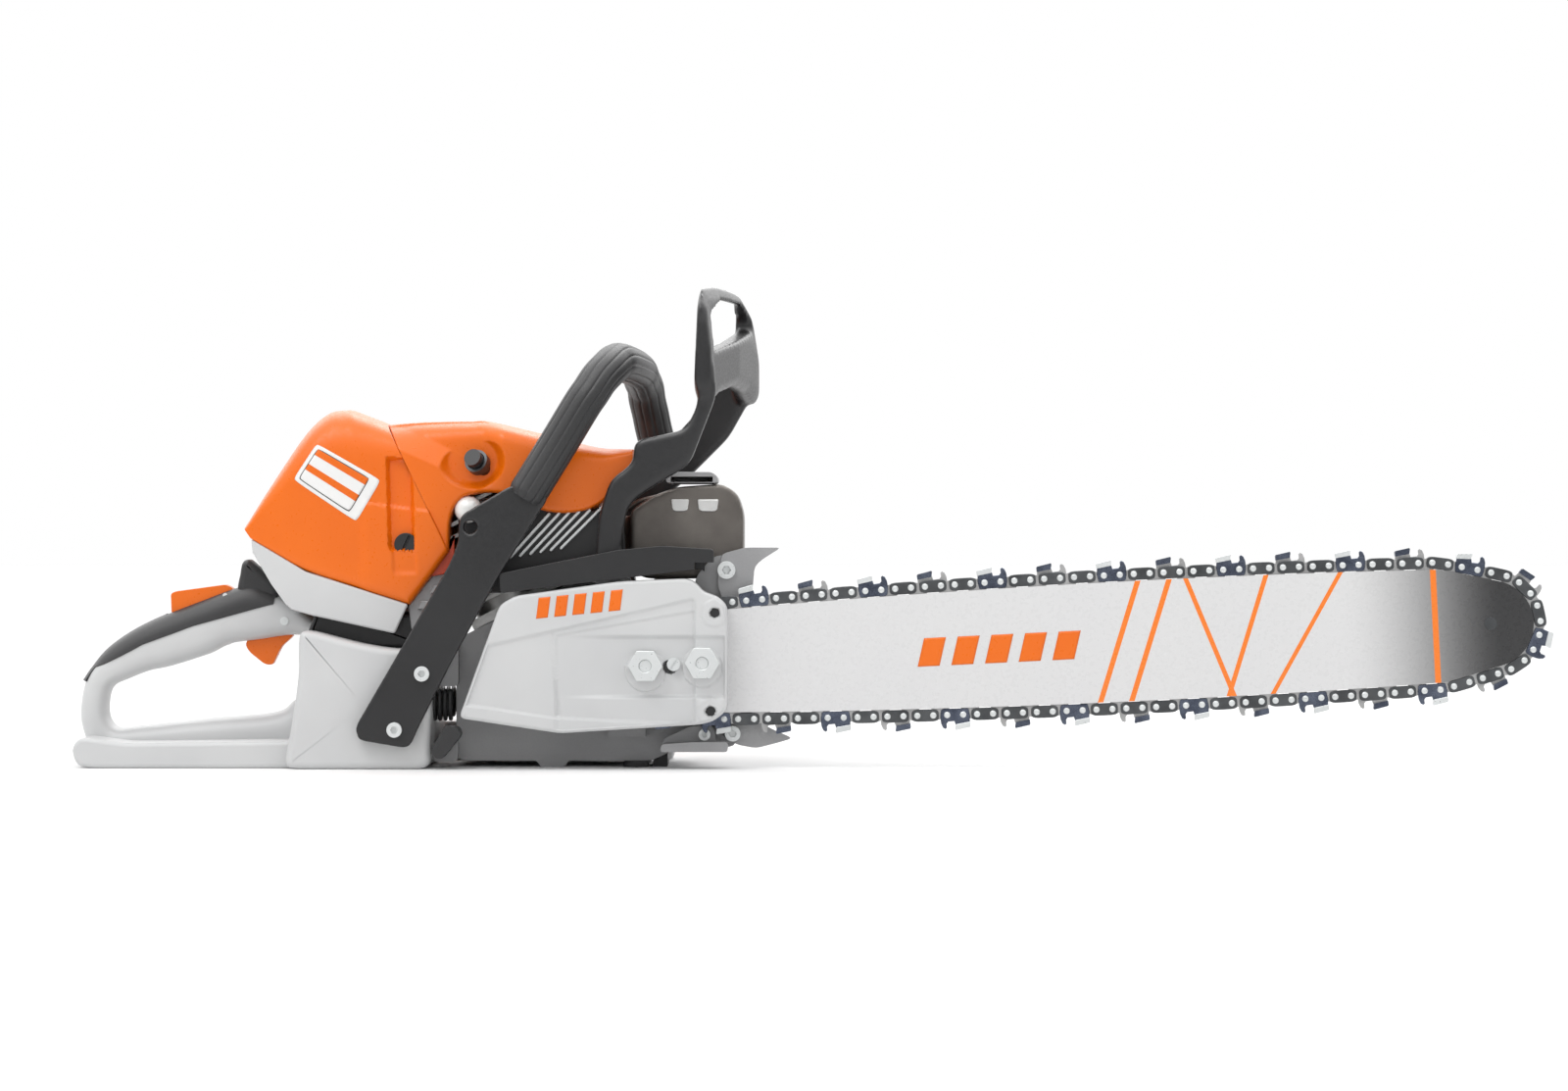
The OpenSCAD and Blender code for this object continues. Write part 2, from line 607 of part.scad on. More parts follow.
module muffler() {
    color([0.46, 0.44, 0.42]) difference() {
        union() {
            plate(muffler_side, -45, 45);
            plate([[8.9, 144.1], [-3.8, 169.0], [12, 172], [51, 160], [51, 136], [20, 136]], -16, 16);
        }
        plate(rounded([[53, 128], [53, 163], [65, 171.5], [80, 177], [108, 179], [116.5, 174], [120, 162], [120, 124],
            [60, 124]], 4), -42, 42);
        translate([-5, 0, 157]) rotate([0, 97, 0]) cylinder(h = 62, r = 9);
        translate([90, -20, 170]) cylinder(h = 20, r = 8);
    }
}
module muffler_deflector() {
    color([0.38, 0.38, 0.38]) difference() {
        plate(rounded([[73, 182.5], [73, 187], [77, 189.5], [102, 189.5], [106, 187], [106, 182.5]], 2), -46, 30);
        plate([[76, 180], [76, 187], [103, 187], [103, 180]], -43, 27);
        block(76, 103, -47, -40, 183, 186.5);
    }
}
cover_edge = rounded([[-31.5, 109], [96, 124.5], [101, 118.5], [117.5, 114], [117.5, 45], [108.5, 29], [8, 18.6],
    [-68, 30]], 5);
cover_hollow = rounded([[-28.5, 106], [95, 121], [100, 115.5], [120, 110], [120, 50], [106, 32], [8, 21.8], [-63, 32.6]], 5);
pan = rounded([[3, 86], [111, 86], [112, 53], [56, 51.5], [8, 44]], 8);
module sprocket_cover() {
    color(white) difference() {
        union() {
            plate(cover_edge, -93, -71);
            plate(rounded([[-31.5, 109], [96, 124.5], [99, 121], [-20, 106], [-60, 31], [-68, 30]], 1), -72, -57);
        }
        difference() {
            plate(cover_hollow, -90, -56);
            plate(rounded([[0, 89], [114, 89], [115, 50], [56, 48.5], [5, 41]], 8), -90, -85);
            for (x = studs_x) let (p = on_bar(x)) round_y(p[0], p[1], 10, -90, -66.6);
        }
        plate(pan, -94, -88);
        for (x = studs_x) let (p = on_bar(x)) round_y(p[0], p[1], 4.2, -95, -60);
        let (p = on_bar(79)) round_y(p[0], p[1], 4.6, -95, -60);
        for (p = [[105, 99.6], [102.3, 37.5]]) round_y(p[0], p[1], 2.85, -95, -60);
    }
}
module bar_fasteners() {
    color(steel) for (x = studs_x) let (p = on_bar(x)) round_y(p[0], p[1], 4, -96, -45);
    color(steel) for (x = studs_x) let (p = on_bar(x)) difference() {
        translate([p[0], -88, p[1]]) rotate([90, 0, 0]) cylinder(h = 9.5, r = nut_af / 2 / cos(30), $fn = 6);
        round_y(p[0], p[1], 4.04, -99, -80);
    }
}
module adjuster_screw() {
    color(steel) let (p = on_bar(79)) difference() {
        union() {
            round_y(p[0], p[1], 4.2, -90, -80);
            round_y(p[0], p[1], 3, -80, -62.4);
        }
        translate([p[0], -90, p[1]]) rotate([0, 35, 0]) cube([1.2, 3, 9], center = true);
    }
}

// ---- Starter --------------------------------------------------------------
module starter_housing() {
    color(orange) difference() {
        union() {
            ring_y(0, crank_z, starter_r, starter_r - wall, 64, 88);
            round_y(0, crank_z, starter_r, 85, 88);
            round_y(0, crank_z, 3.95, 67, 86);
            block(43, 62, 66, 82, crank_z + rope_z - 9, crank_z + rope_z + 9);
            for (a = [135:90:315]) translate([0, 64, crank_z]) rotate([0, a, 0]) translate([starter_r - 2, 0, -6])
                cube([8, 24, 12]);
        }
        for (a = [0:20:340]) translate([0, 84, crank_z]) rotate([0, a, 0]) translate([32, 0, -2.5])
            cube([16, 6, 5]);
        translate([36, 74, crank_z + rope_z]) rotate([0, 90, 0]) cylinder(h = 30, r = 2.6);
    }
}
module starter_pulley() {
    color(black) difference() {
        union() {
            ring_y(0, crank_z, 26.5, 4, 70, 71.5);
            ring_y(0, crank_z, 23, 4, 71.5, 76.5);
            ring_y(0, crank_z, 26.5, 4, 76.5, 78);
        }
        for (a = [0:60:300]) translate([0, 74, crank_z]) rotate([0, a, 0]) translate([15, 0, 0])
            rotate([90, 0, 0]) cylinder(h = 20, r = 3.5, center = true);
    }
}
function spiral(r0, r1, turns, n) = [for (i = [0:n]) let (a = 360 * turns * i / n, r = r0 + (r1 - r0) * i / n)
    r * [cos(a), sin(a)]];
module recoil_spring() {
    outer = spiral(9, 27, 4, 64);
    inner = spiral(8.2, 26.2, 4, 64);
    color(steel) translate([0, 84, crank_z]) rotate([90, 0, 0]) linear_extrude(5)
        polygon(concat(outer, [for (i = [64:-1:0]) inner[i]]));
}
module starter_grip() {
    color(black) translate([62.4, 74, crank_z + rope_z]) {
        rotate([0, 90, 0]) cylinder(h = 12, r = 5.5);
        translate([18, 0, -19]) cylinder(h = 38, r = 6.5);
    }
    color(white) translate([-38, 74, crank_z + rope_z]) rotate([0, 90, 0]) cylinder(h = 100.4, r = 1.8);
}

// ---- Bar and chain --------------------------------------------------------
function rail(x) = bar_half - pow(x - rail_mid_x, 2) / (2 * rail_r);
bar_top = concat([[tail_x, 11], [45, 19], [60, 25.5], [85, 30.5]], [for (x = [110:30:560]) [x, rail(x)]],
    [[568, 36], [577, 34.4]], arc([nose_x, 0], nose_r, 76.8, 0, 10));
function mirrored(p) = concat(p, [for (i = [len(p) - 2:-1:0]) [p[i][0], -p[i][1]]]);
core_top = concat([[tail_x + 3, 9], [60, 18], [85, 23]], [for (x = [110:45:560]) [x, rail(x) - 7.5]],
    [[566, 26], [574, 0]]);
module guide_bar() {
    color(white) along_bar() difference() {
        union() {
            for (y = [-bar_t / 2, bar_t / 2 - plate_t]) plate(mirrored(bar_top), y, y + plate_t);
            plate(mirrored(core_top), -bar_t / 2 + plate_t, bar_t / 2 - plate_t);
        }
        translate([studs_x[0] - 4, -5, -4.6]) cube([44, 10, 9.2]);
        for (s = [-1, 1]) translate([66, 5, s * 17]) rotate([90, 0, 0]) cylinder(h = 10, r = 3.2);
        for (s = [-1, 1]) translate([88, 5, s * 22]) rotate([90, 0, 0]) cylinder(h = 10, r = 1.5);
        translate([nose_x, 5, 0]) rotate([90, 0, 0]) cylinder(h = 10, r = 4.1);
    }
}
module nose_sprocket() {
    color(steel) along_bar() translate([nose_x, 0, 0]) difference() {
        rotate([90, 0, 0]) linear_extrude(1.4, center = true)
            polygon([for (i = [0:43]) (i % 4 < 2 ? 23.6 : 20.5) * [cos(i * 360 / 44), sin(i * 360 / 44)]]);
        rotate([90, 0, 0]) cylinder(h = 10, r = 4.1, center = true);
    }
    color(steel) along_bar() translate([nose_x, 0, 0]) rotate([90, 0, 0])
        cylinder(h = bar_t + 0.2, r = 4.05, center = true);
}
run_top = concat(arc([0, 0], sprocket_r, 180, 98.7, 10), [for (x = [100:25:550]) [x, rail(x) + rail_to_rivet]],
    [[566, 40.6], [577, 38.5]], arc([nose_x, 0], nose_r + rail_to_rivet, 76.8, 0, 14));
run = mirrored(run_top);
steps = [for (i = [0:len(run) - 2]) norm(run[i + 1] - run[i])];
function sums(v, i = 0, s = 0, out = []) = i > len(v) ? out : sums(v, i + 1, s + (i < len(v) ? v[i] : 0), concat(out, [s]));
lengths = sums(steps);
loop_length = lengths[len(lengths) - 1];
x_at = [for (i = [0:len(run) - 1]) [lengths[i], run[i][0]]];
h_at = [for (i = [0:len(run) - 1]) [lengths[i], run[i][1]]];
function on_run(s) = let (w = s - loop_length * floor(s / loop_length)) [lookup(w, x_at), lookup(w, h_at)];
two_pitch = loop_length / drive_links;
link_gap = 8.86;
// Places a flat link between two rivets of the chain
module between(s0, s1, y) {
    a = on_run(s0);
    b = on_run(s1);
    m = (a + b) / 2;
    along_bar() translate([m[0], y, m[1]]) rotate([0, -atan2(b[1] - a[1], b[0] - a[0]), 0])
        rotate([90, 0, 0]) children();
}
strap_gap = 2 * link_pitch - link_gap;
strap_y = link_t / 2 + gauge_gap;
drive_shape = concat(arc([link_gap / 2, 0], 3.9, -40, 90, 4), [[0, 2.6]], arc([-link_gap / 2, 0], 3.9, 90, 215, 4),
    [[-5, -5.2], [-2.4, -7.6], [1, -7.6], [4.6, -5]]);
strap_shape = concat(arc([strap_gap / 2, 0], 4, -90, 90, 5), [[0, 3.4]], arc([-strap_gap / 2, 0], 4, 90, 270, 5),
    [[0, -3.4]]);
cutter_shape = [[-8.6, -3.2], [-9.5, 1], [-9.4, 7.6], [-1.2, 8.4], [-1.6, 4.4], [0.6, 2.8], [3.4, 3.6], [4.4, 7.2],
    [6.6, 6.8], [9, 1.6], [8.6, -2.4], [5, -4], [0, -3.4], [-5, -4]];
module holed(shape, gap, t) {
    difference() {
        linear_extrude(t) polygon(shape);
        for (s = [-1, 1]) translate([s * gap / 2, 0, -1]) cylinder(h = 4, r = rivet_r + 0.1, $fn = 24);
    }
}
module chain_drive_links() {
    color(steel) for (k = [0:drive_links - 1]) between(k * two_pitch, k * two_pitch + link_gap, link_t / 2)
        holed(drive_shape, link_gap, link_t);
}
// side -1 is the near side of the chain; the step tells ties from cutters
function is_cutter(k, side) = k % 4 == (side < 0 ? 0 : 2) && k < drive_links - 1;
module chain_tie_straps() {
    color("dimgray") for (k = [0:drive_links - 1]) for (side = [-1, 1]) if (!is_cutter(k, side))
        between(k * two_pitch + link_gap, (k + 1) * two_pitch, side < 0 ? -strap_y : strap_y + strap_t)
            holed(strap_shape, strap_gap, strap_t);
}
module chain_cutters() {
    color([0.25, 0.27, 0.32]) for (k = [0:drive_links - 1]) for (side = [-1, 1]) if (is_cutter(k, side))
        between(k * two_pitch + link_gap, (k + 1) * two_pitch, side < 0 ? -strap_y : strap_y + strap_t) {
            holed(cutter_shape, strap_gap, strap_t);
            translate([-9.4, 7, side < 0 ? -3.4 : -0.6]) rotate([0, 0, 5]) cube([8.2, 1.4, 5.4]);
        }
}
module chain_rivets() {
    head_y = strap_y + strap_t + 0.02;
    color(steel) for (k = [0:drive_links - 1]) for (s = [0, link_gap]) let (p = on_run(k * two_pitch + s))
        along_bar() translate([p[0], 0, p[1]]) rotate([90, 0, 0]) {
            cylinder(h = 2 * head_y, r = rivet_r, center = true, $fn = 20);
            for (e = [-1, 1]) translate([0, 0, e * (head_y + 0.25)]) cylinder(h = 0.5, r = 2.7, center = true, $fn = 20);
        }
}
spike = rounded([[109, 137], [124, 141], [147, 141], [135, 133.5], [130, 129], [129, 118], [127, 80], [129, 36],
    [133, 29], [143, 24], [154.5, 19], [144.5, 16], [131, 12.6], [118, 15], [106, 25], [106, 34], [112, 60], [112, 100],
    [106, 118]], 3, 2);
module bumper_spike() {
    color(cast) difference() {
        plate(spike, -56, -52);
        for (z = [126.6, 22]) round_y(112 + (z < 60 ? 4 : 0), z, 2.7, -60, -50);
    }
}
module chain_catcher() {
    color(steel) difference() {
        union() {
            plate(rounded([[70, 11], [72, 19], [90, 27], [104, 27], [105, 19], [105, 11]], 3), -60, -56.3);
            plate(rounded([[70, 11], [71, 16], [90, 17.3], [113, 17.3], [113, 11]], 2), -76, -60);
        }
        round_y(98, 21.5, 2.6, -65, -50);
    }
}
module av_mounts() {
    color(black) {
        translate([59, 78, 10]) cylinder(h = 6, r = 11.3);
        round_y(-52, 14, 7, 40.2, 59);
    }
    color(steel) for (y = [-44, 30]) for (i = [0:3]) translate([-75.4 + i * 3.4, y, 40]) rotate([0, 90, 0])
        rotate_extrude() translate([9, 0]) circle(r = 1.28, $fn = 16);
}
module screw(x, y, z, r, shank) {
    difference() {
        round_y(x, z, r, y - 3.4, y);
        translate([x, y, z]) rotate([90, 0, 0]) cylinder(h = 7, r = r * 0.5, $fn = 6);
    }
    round_y(x, z, 2.45, y, y + shank);
}
module case_screws() {
    color(steel) {
        for (p = bracket_screws) screw(p[0], -86, p[1], 4.8, 15);
        screw(112, -56, 126.6, 5.7, 10);
        screw(116, -56, 22, 5, 3.9);
        screw(98, -60, 21.5, 3.8, 3.6);
    }
}

tank_housing();
rear_grip();
throttle_trigger();
throttle_lockout();
stop_lever();
fuel_cap();
fuel_cap_bail();
handle_frame();
handle_sleeve();
hand_guard();
lever_pins();
brake_cover();
brake_band();
crankcase_right();
crankcase_left();
rubber_pads();
oil_cap();
main_bearings();
crankshaft();
connecting_rod();
piston();
cylinder_block();
spark_plug();
plug_boot();
decompression_valve();
decompression_button();
ignition_module();
flywheel();
clutch_hub();
clutch_drum();
rim_sprocket();
oil_pump();
filter_cover();
filter_cover_skirt();
cover_lock_screw();
top_shroud();
filter_base();
air_filter();
carburettor();
throttle_butterfly();
intake_boot();
muffler();
muffler_deflector();
sprocket_cover();
bar_fasteners();
adjuster_screw();
starter_housing();
starter_pulley();
recoil_spring();
starter_grip();
guide_bar();
nose_sprocket();
chain_drive_links();
chain_tie_straps();
chain_cutters();
chain_rivets();
bumper_spike();
chain_catcher();
av_mounts();
case_screws();
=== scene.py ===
# %% [markdown]
# A petrol chainsaw, seen square from its sprocket side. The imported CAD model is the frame: every
# piece made here takes its place from a CAD node and rides on that node's body. Lengths are metres.
# %% Load the frame
import bpy, bmesh, json, math
import numpy as np
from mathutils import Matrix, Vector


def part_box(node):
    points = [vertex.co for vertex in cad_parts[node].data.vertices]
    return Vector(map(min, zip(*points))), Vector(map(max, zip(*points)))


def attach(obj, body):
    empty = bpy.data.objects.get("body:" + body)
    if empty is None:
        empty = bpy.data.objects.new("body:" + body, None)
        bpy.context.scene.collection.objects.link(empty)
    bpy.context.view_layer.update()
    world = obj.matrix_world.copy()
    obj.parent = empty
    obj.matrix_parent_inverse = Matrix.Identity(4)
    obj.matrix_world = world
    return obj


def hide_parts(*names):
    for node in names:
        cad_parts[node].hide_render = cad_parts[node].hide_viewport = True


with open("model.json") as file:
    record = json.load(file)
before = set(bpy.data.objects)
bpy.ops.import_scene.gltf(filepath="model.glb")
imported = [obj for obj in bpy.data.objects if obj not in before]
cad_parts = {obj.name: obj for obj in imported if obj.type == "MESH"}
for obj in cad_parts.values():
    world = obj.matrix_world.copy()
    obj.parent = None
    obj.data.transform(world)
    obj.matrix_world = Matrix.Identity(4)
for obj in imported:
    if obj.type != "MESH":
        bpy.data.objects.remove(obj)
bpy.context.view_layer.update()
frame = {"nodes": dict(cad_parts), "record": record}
body_of = {node: body for body, members in frame["record"]["behaviour"]["bodies"].items() for node in members}
slot_of = {part["node"]: part["material_slot"] for part in frame["record"]["subparts"]}
nodes = frame["nodes"]
mm = 0.001

# %% [markdown]
# The looks are node trees: small nodes joined output to input. These helpers make a node, give each of
# its inputs a constant or another node's output, and hand back the output that the next node needs.
# %% Shader helpers
def give(tree, socket, value):
    """Joins the socket to another node's output, or sets it to a constant."""
    if isinstance(value, bpy.types.NodeSocket):
        tree.links.new(value, socket)
    else:
        socket.default_value = value


def feed(tree, node, **inputs):
    """Gives each named input its value; an underscore in the name stands for a space."""
    for label, value in inputs.items():
        give(tree, node.inputs[label.replace("_", " ")], value)
    return node


def math_node(tree, operation, *values, clamp=False):
    node = tree.nodes.new("ShaderNodeMath")
    node.operation = operation
    node.use_clamp = clamp
    for socket, value in zip(node.inputs, values):
        give(tree, socket, value)
    return node.outputs[0]


def mapped(tree, value, low, high, start=0.3, end=0.7, curve="LINEAR"):
    """The value stretched from start..end to low..high; noise lives in 0.3..0.7."""
    node = tree.nodes.new("ShaderNodeMapRange")
    node.interpolation_type = curve
    return feed(tree, node, Value=value, From_Min=start, From_Max=end, To_Min=low, To_Max=high).outputs["Result"]


def blend(tree, factor, a, b):
    """Colour a where the factor is 0, colour b where it is 1."""
    mix = tree.nodes.new("ShaderNodeMix")
    mix.data_type = "RGBA"
    return feed(tree, mix, Factor=factor, A=a, B=b).outputs["Result"]


def place_in(tree, space):
    return tree.nodes.new("ShaderNodeTexCoord").outputs[space]


def split_of(tree, vector):
    return feed(tree, tree.nodes.new("ShaderNodeSeparateXYZ"), Vector=vector).outputs


print("shader helpers ready")

# %% [markdown]
# The camera looks level along +Y from three metres, so the side of the saw shows almost without
# perspective. A white floor and a white world give the bright, even studio light; two large soft
# lamps add the highlights along the top of the covers. What shiny surfaces mirror is dark in front,
# lighter behind and bright overhead, as in a studio with a ceiling of lamps, so black parts keep their
# depth and rolled edges catch the light.
# %% Camera, floor and light
scene = bpy.context.scene
bar_plane_y = -0.064
view_width = 1.0006
view_centre_x = 0.1488
view_centre_z = 0.1423
camera_distance = 3.0
sensor_width = 36.0
camera_data = bpy.data.cameras.new("camera")
camera_data.sensor_width = sensor_width
camera_data.lens = sensor_width * camera_distance / view_width
camera_data.clip_end = 60
camera = bpy.data.objects.new("camera", camera_data)
camera.location = (view_centre_x, bar_plane_y - camera_distance, view_centre_z)
camera.rotation_euler = (math.radians(90), 0, 0)
scene.collection.objects.link(camera)
scene.camera = camera
scene.view_settings.view_transform = "Standard"

world = bpy.data.worlds.new("studio")
world.use_nodes = True
tree = world.node_tree
direction = split_of(tree, place_in(tree, "Generated"))
overhead = mapped(tree, direction["Z"], 0.06, 3.6, 0.05, 0.9)
behind = mapped(tree, direction["Y"], 0.0, 0.9, 0.0, 0.6)
mirrored = tree.nodes.new("ShaderNodeLightPath").outputs["Is Glossy Ray"]
strength = feed(tree, tree.nodes.new("ShaderNodeMix"), Factor=mirrored, A=1.0,
                B=math_node(tree, "ADD", overhead, behind))
feed(tree, tree.nodes["Background"], Color=(1, 1, 1, 1), Strength=strength.outputs["Result"])
scene.world = world


def soft_lamp(name, place, aim, size, watts):
    """A square area lamp at place, turned so that it shines at aim."""
    data = bpy.data.lights.new(name, "AREA")
    data.size = size
    data.energy = watts
    lamp = bpy.data.objects.new(name, data)
    lamp.location = place
    away = np.array(aim) - np.array(place)
    lamp.rotation_euler = (math.atan2(np.hypot(away[0], away[1]), -away[2]), 0, math.atan2(-away[0], away[1]))
    scene.collection.objects.link(lamp)


soft_lamp("key_lamp", (-0.8, -1.6, 2.2), (0.1, 0, 0.1), 1.2, 17)
soft_lamp("back_lamp", (0.6, 1.4, 1.9), (0.1, 0, 0.1), 1.4, 11)
reach = 30
floor_mesh = bpy.data.meshes.new("floor")
floor_mesh.from_pydata([(-reach, -reach, 0), (reach, -reach, 0), (reach, reach, 0), (-reach, reach, 0)], [],
                       [(0, 1, 2, 3)])
floor = bpy.data.objects.new("floor", floor_mesh)
scene.collection.objects.link(floor)
print("camera lens", round(camera_data.lens, 1))

# %% [markdown]
# Moulded plastic, rubber, cast metal and painted steel all show two things: a slow drift of tone over
# the whole part, and a fine grain that breaks up the gloss. One node group gives both from Object
# coordinates, so every material uses the same pattern with its own scale and amount. A second group
# makes the long parallel scratches of brushed or handled metal.
# %% Shared surface patterns
def new_group(name, inputs, outputs):
    """An empty shader node group with float inputs (name: default) and float outputs."""
    group = bpy.data.node_groups.new(name, "ShaderNodeTree")
    for label, value in inputs.items():
        group.interface.new_socket(label, in_out="INPUT", socket_type="NodeSocketFloat").default_value = value
    for label in outputs:
        group.interface.new_socket(label, in_out="OUTPUT", socket_type="NodeSocketFloat")
    return group, group.nodes.new("NodeGroupInput").outputs, group.nodes.new("NodeGroupOutput")


def noise(tree, vector, scale, detail):
    node = tree.nodes.new("ShaderNodeTexNoise")
    return feed(tree, node, Vector=vector, Scale=scale, Detail=detail).outputs["Fac"]


surface_group, asked, result = new_group(
    "moulded_surface", {"Grain Scale": 900.0, "Mottle Scale": 14.0}, ["Mottle", "Grain"])
place = place_in(surface_group, "Object")
feed(surface_group, result, Mottle=noise(surface_group, place, asked["Mottle Scale"], 3.0),
     Grain=noise(surface_group, place, asked["Grain Scale"], 2.0))

scratch_group, asked, result = new_group("fine_scratches", {"Scale": 60.0, "Amount": 0.5}, ["Scratch"])
stretch = feed(scratch_group, scratch_group.nodes.new("ShaderNodeMapping"),
               Vector=place_in(scratch_group, "Object"), Scale=(0.25, 1.0, 9.0))
streak = noise(scratch_group, stretch.outputs["Vector"], asked["Scale"], 6.0)
sharp = math_node(scratch_group, "POWER", streak, 3.0)
feed(scratch_group, result, Scratch=math_node(scratch_group, "MULTIPLY", sharp, asked["Amount"]))
print("groups", [g.name for g in bpy.data.node_groups])

# %% [markdown]
# One function builds a finish: two close colours blended by the mottle, a roughness that follows the
# grain, and a bump from the grain. Metals add scratches to the roughness.
# %% Finishes
rough_range = 0.08
grain_height = 0.1 * mm
scratch_scale = 60.0


def group_node(tree, group, **values):
    node = tree.nodes.new("ShaderNodeGroup")
    node.node_tree = group
    return feed(tree, node, **values).outputs


def finish(name, light, dark, rough, grain=900.0, bump=0.15, metal=0.0, coat=0.0, scratch=0.0, mottle=14.0,
           specular=0.5):
    """A Principled surface between two colours; see the cell's text for how its patterns are used."""
    material = bpy.data.materials.new(name)
    material.use_nodes = True
    tree = material.node_tree
    pattern = group_node(tree, surface_group, Grain_Scale=grain, Mottle_Scale=mottle)
    colour = blend(tree, mapped(tree, pattern["Mottle"], 0.0, 1.0), (*light, 1), (*dark, 1))
    gloss = mapped(tree, pattern["Grain"], rough - rough_range, rough + rough_range)
    if scratch:
        marks = group_node(tree, scratch_group, Scale=scratch_scale, Amount=scratch)
        gloss = math_node(tree, "ADD", gloss, marks["Scratch"], clamp=True)
    relief = feed(tree, tree.nodes.new("ShaderNodeBump"), Strength=bump, Distance=grain_height,
                  Height=pattern["Grain"])
    feed(tree, tree.nodes["Principled BSDF"], Base_Color=colour, Roughness=gloss, Normal=relief.outputs["Normal"],
         Metallic=metal, Coat_Weight=coat, Coat_Roughness=0.12, Specular_IOR_Level=specular)
    return material


looks = {
    "white_plastic": ((0.58, 0.585, 0.585), (0.53, 0.535, 0.54), 0.42, dict(bump=0.25)),
    "orange_plastic": ((0.80, 0.150, 0.001), (0.75, 0.132, 0.001), 0.34, dict(grain=500, bump=0.08, specular=0.4)),
    "black_plastic": ((0.016, 0.016, 0.017), (0.010, 0.010, 0.011), 0.36, dict(bump=0.25)),
    "soft_grip": ((0.024, 0.024, 0.025), (0.016, 0.016, 0.017), 0.5, dict(bump=0.6, grain=1300)),
    "cast_alloy": ((0.36, 0.36, 0.365), (0.28, 0.28, 0.285), 0.5, dict(bump=0.6, grain=700, metal=0.35, scratch=0.2)),
    "bright_alloy": ((0.70, 0.70, 0.69), (0.52, 0.52, 0.51), 0.36, dict(metal=0.85, bump=0.4, scratch=0.3)),
    "muffler_paint": ((0.18, 0.165, 0.15), (0.10, 0.09, 0.082), 0.38,
                      dict(metal=0.65, bump=0.3, mottle=30, scratch=0.2)),
    "zinc_steel": ((0.74, 0.76, 0.76), (0.64, 0.66, 0.66), 0.34, dict(metal=0.6, bump=0.02, scratch=0.1)),
    "chain_steel": ((0.11, 0.115, 0.12), (0.06, 0.063, 0.066), 0.34, dict(metal=0.8, mottle=60, scratch=0.3)),
    "drive_steel": ((0.50, 0.50, 0.50), (0.36, 0.36, 0.36), 0.32, dict(metal=0.9, mottle=60, scratch=0.3)),
    "cutter_chrome": ((0.14, 0.16, 0.21), (0.06, 0.07, 0.10), 0.22, dict(metal=0.9, mottle=90, scratch=0.2)),
    "paper": ((0.76, 0.72, 0.60), (0.68, 0.63, 0.50), 0.85, dict(bump=0.8, grain=1600)),
    "brass_part": ((0.72, 0.50, 0.20), (0.60, 0.40, 0.15), 0.3, dict(metal=1.0)),
    "ceramic_white": ((0.85, 0.85, 0.83), (0.80, 0.80, 0.78), 0.15, dict(coat=0.5)),
    "floor": ((0.97, 0.97, 0.97), (0.965, 0.965, 0.965), 0.9, dict(bump=0.05, grain=60, mottle=2, specular=0.1)),
    "label_film": ((0.80, 0.80, 0.79), (0.76, 0.76, 0.75), 0.35, dict(bump=0.02)),
    # A darker red-orange copy of the orange plastic: painted shade for orange plastic deep in shadow.
    "shaded_orange_plastic": ((0.52, 0.06, 0.02), (0.42, 0.045, 0.015), 0.5, dict(bump=0.2)),
}
finishes = {name: finish(name, light, dark, rough, **more) for name, (light, dark, rough, more) in looks.items()}
floor_mesh.materials.append(finishes["floor"])
print("finishes", len(finishes))

# %% [markdown]
# The guide bar is lacquered white and fades to dark steel towards the nose. Its only graphic is a set
# of plain orange lines. Position along the bar drives both: a Mapping node turns the object's X and Z
# until X runs along the bar. The nose sprocket's rivet is dark like the nose round it, and so is the
# decompression valve.
# %% The guide bar's lacquer
bar_tilt = math.radians(2.8)
bar_height = 0.0632
fade_start, fade_end = 0.505, 0.612
nose_colour = (0.022, 0.022, 0.023, 1)
line_colour = (0.86, 0.19, 0.006, 1)
lines = [(0.366, 0.36, 0.0018), (0.386, 0.36, 0.0018), (0.424, -0.36, 0.0016),
         (0.448, 0.36, 0.0016), (0.486, 0.62, 0.0016), (0.568, 0.0, 0.0019)]


def bar_lacquer():
    """White before the fade and dark beyond it, with a line wherever X - slope * Z is within half a
    line's width of its centre."""
    material = finish("bar_paint", (0.65, 0.65, 0.65), (0.64, 0.64, 0.645), 0.3, coat=0.3, grain=400, bump=0.015,
                      scratch=0.02)
    tree = material.node_tree
    shader = tree.nodes["Principled BSDF"]
    white = shader.inputs["Base Color"].links[0].from_socket
    turn = feed(tree, tree.nodes.new("ShaderNodeMapping"), Vector=place_in(tree, "Object"),
                Location=(0, 0, -bar_height), Rotation=(0, bar_tilt, 0))
    turned = split_of(tree, turn.outputs["Vector"])
    marks = 0.0
    for centre, slope, half in lines:
        lean = math_node(tree, "MULTIPLY_ADD", turned["Z"], -slope, turned["X"])
        gap = math_node(tree, "ABSOLUTE", math_node(tree, "SUBTRACT", lean, centre))
        marks = math_node(tree, "MAXIMUM", math_node(tree, "LESS_THAN", gap, half), marks)
    fade = mapped(tree, turned["X"], 0.0, 1.0, fade_start, fade_end, "SMOOTHSTEP")
    feed(tree, shader, Base_Color=blend(tree, marks, blend(tree, fade, white, nose_colour), line_colour))
    return material


def paint(mesh, material):
    """The named finish and no other."""
    mesh.materials.clear()
    mesh.materials.append(finishes[material])


finishes["bar_paint"] = bar_lacquer()
darker = {"nose_sprocket": "chain_steel", "decompression_valve": "chain_steel"}
for name, node in nodes.items():
    paint(node.data, darker.get(name, slot_of[name]))
print("every CAD node has a finish")

# %% [markdown]
# Every new surface is a grid of points worked out as one array, or a CAD part whose edges are rounded.
# These helpers turn a grid into a closed mesh, run a smooth curve through a few points, and cut or
# round a piece. Each piece is then registered: it rides on a body and stands for its CAD node.
# %% Surface helpers
sharp_angle = math.radians(35)
rounding_angle = math.radians(30)


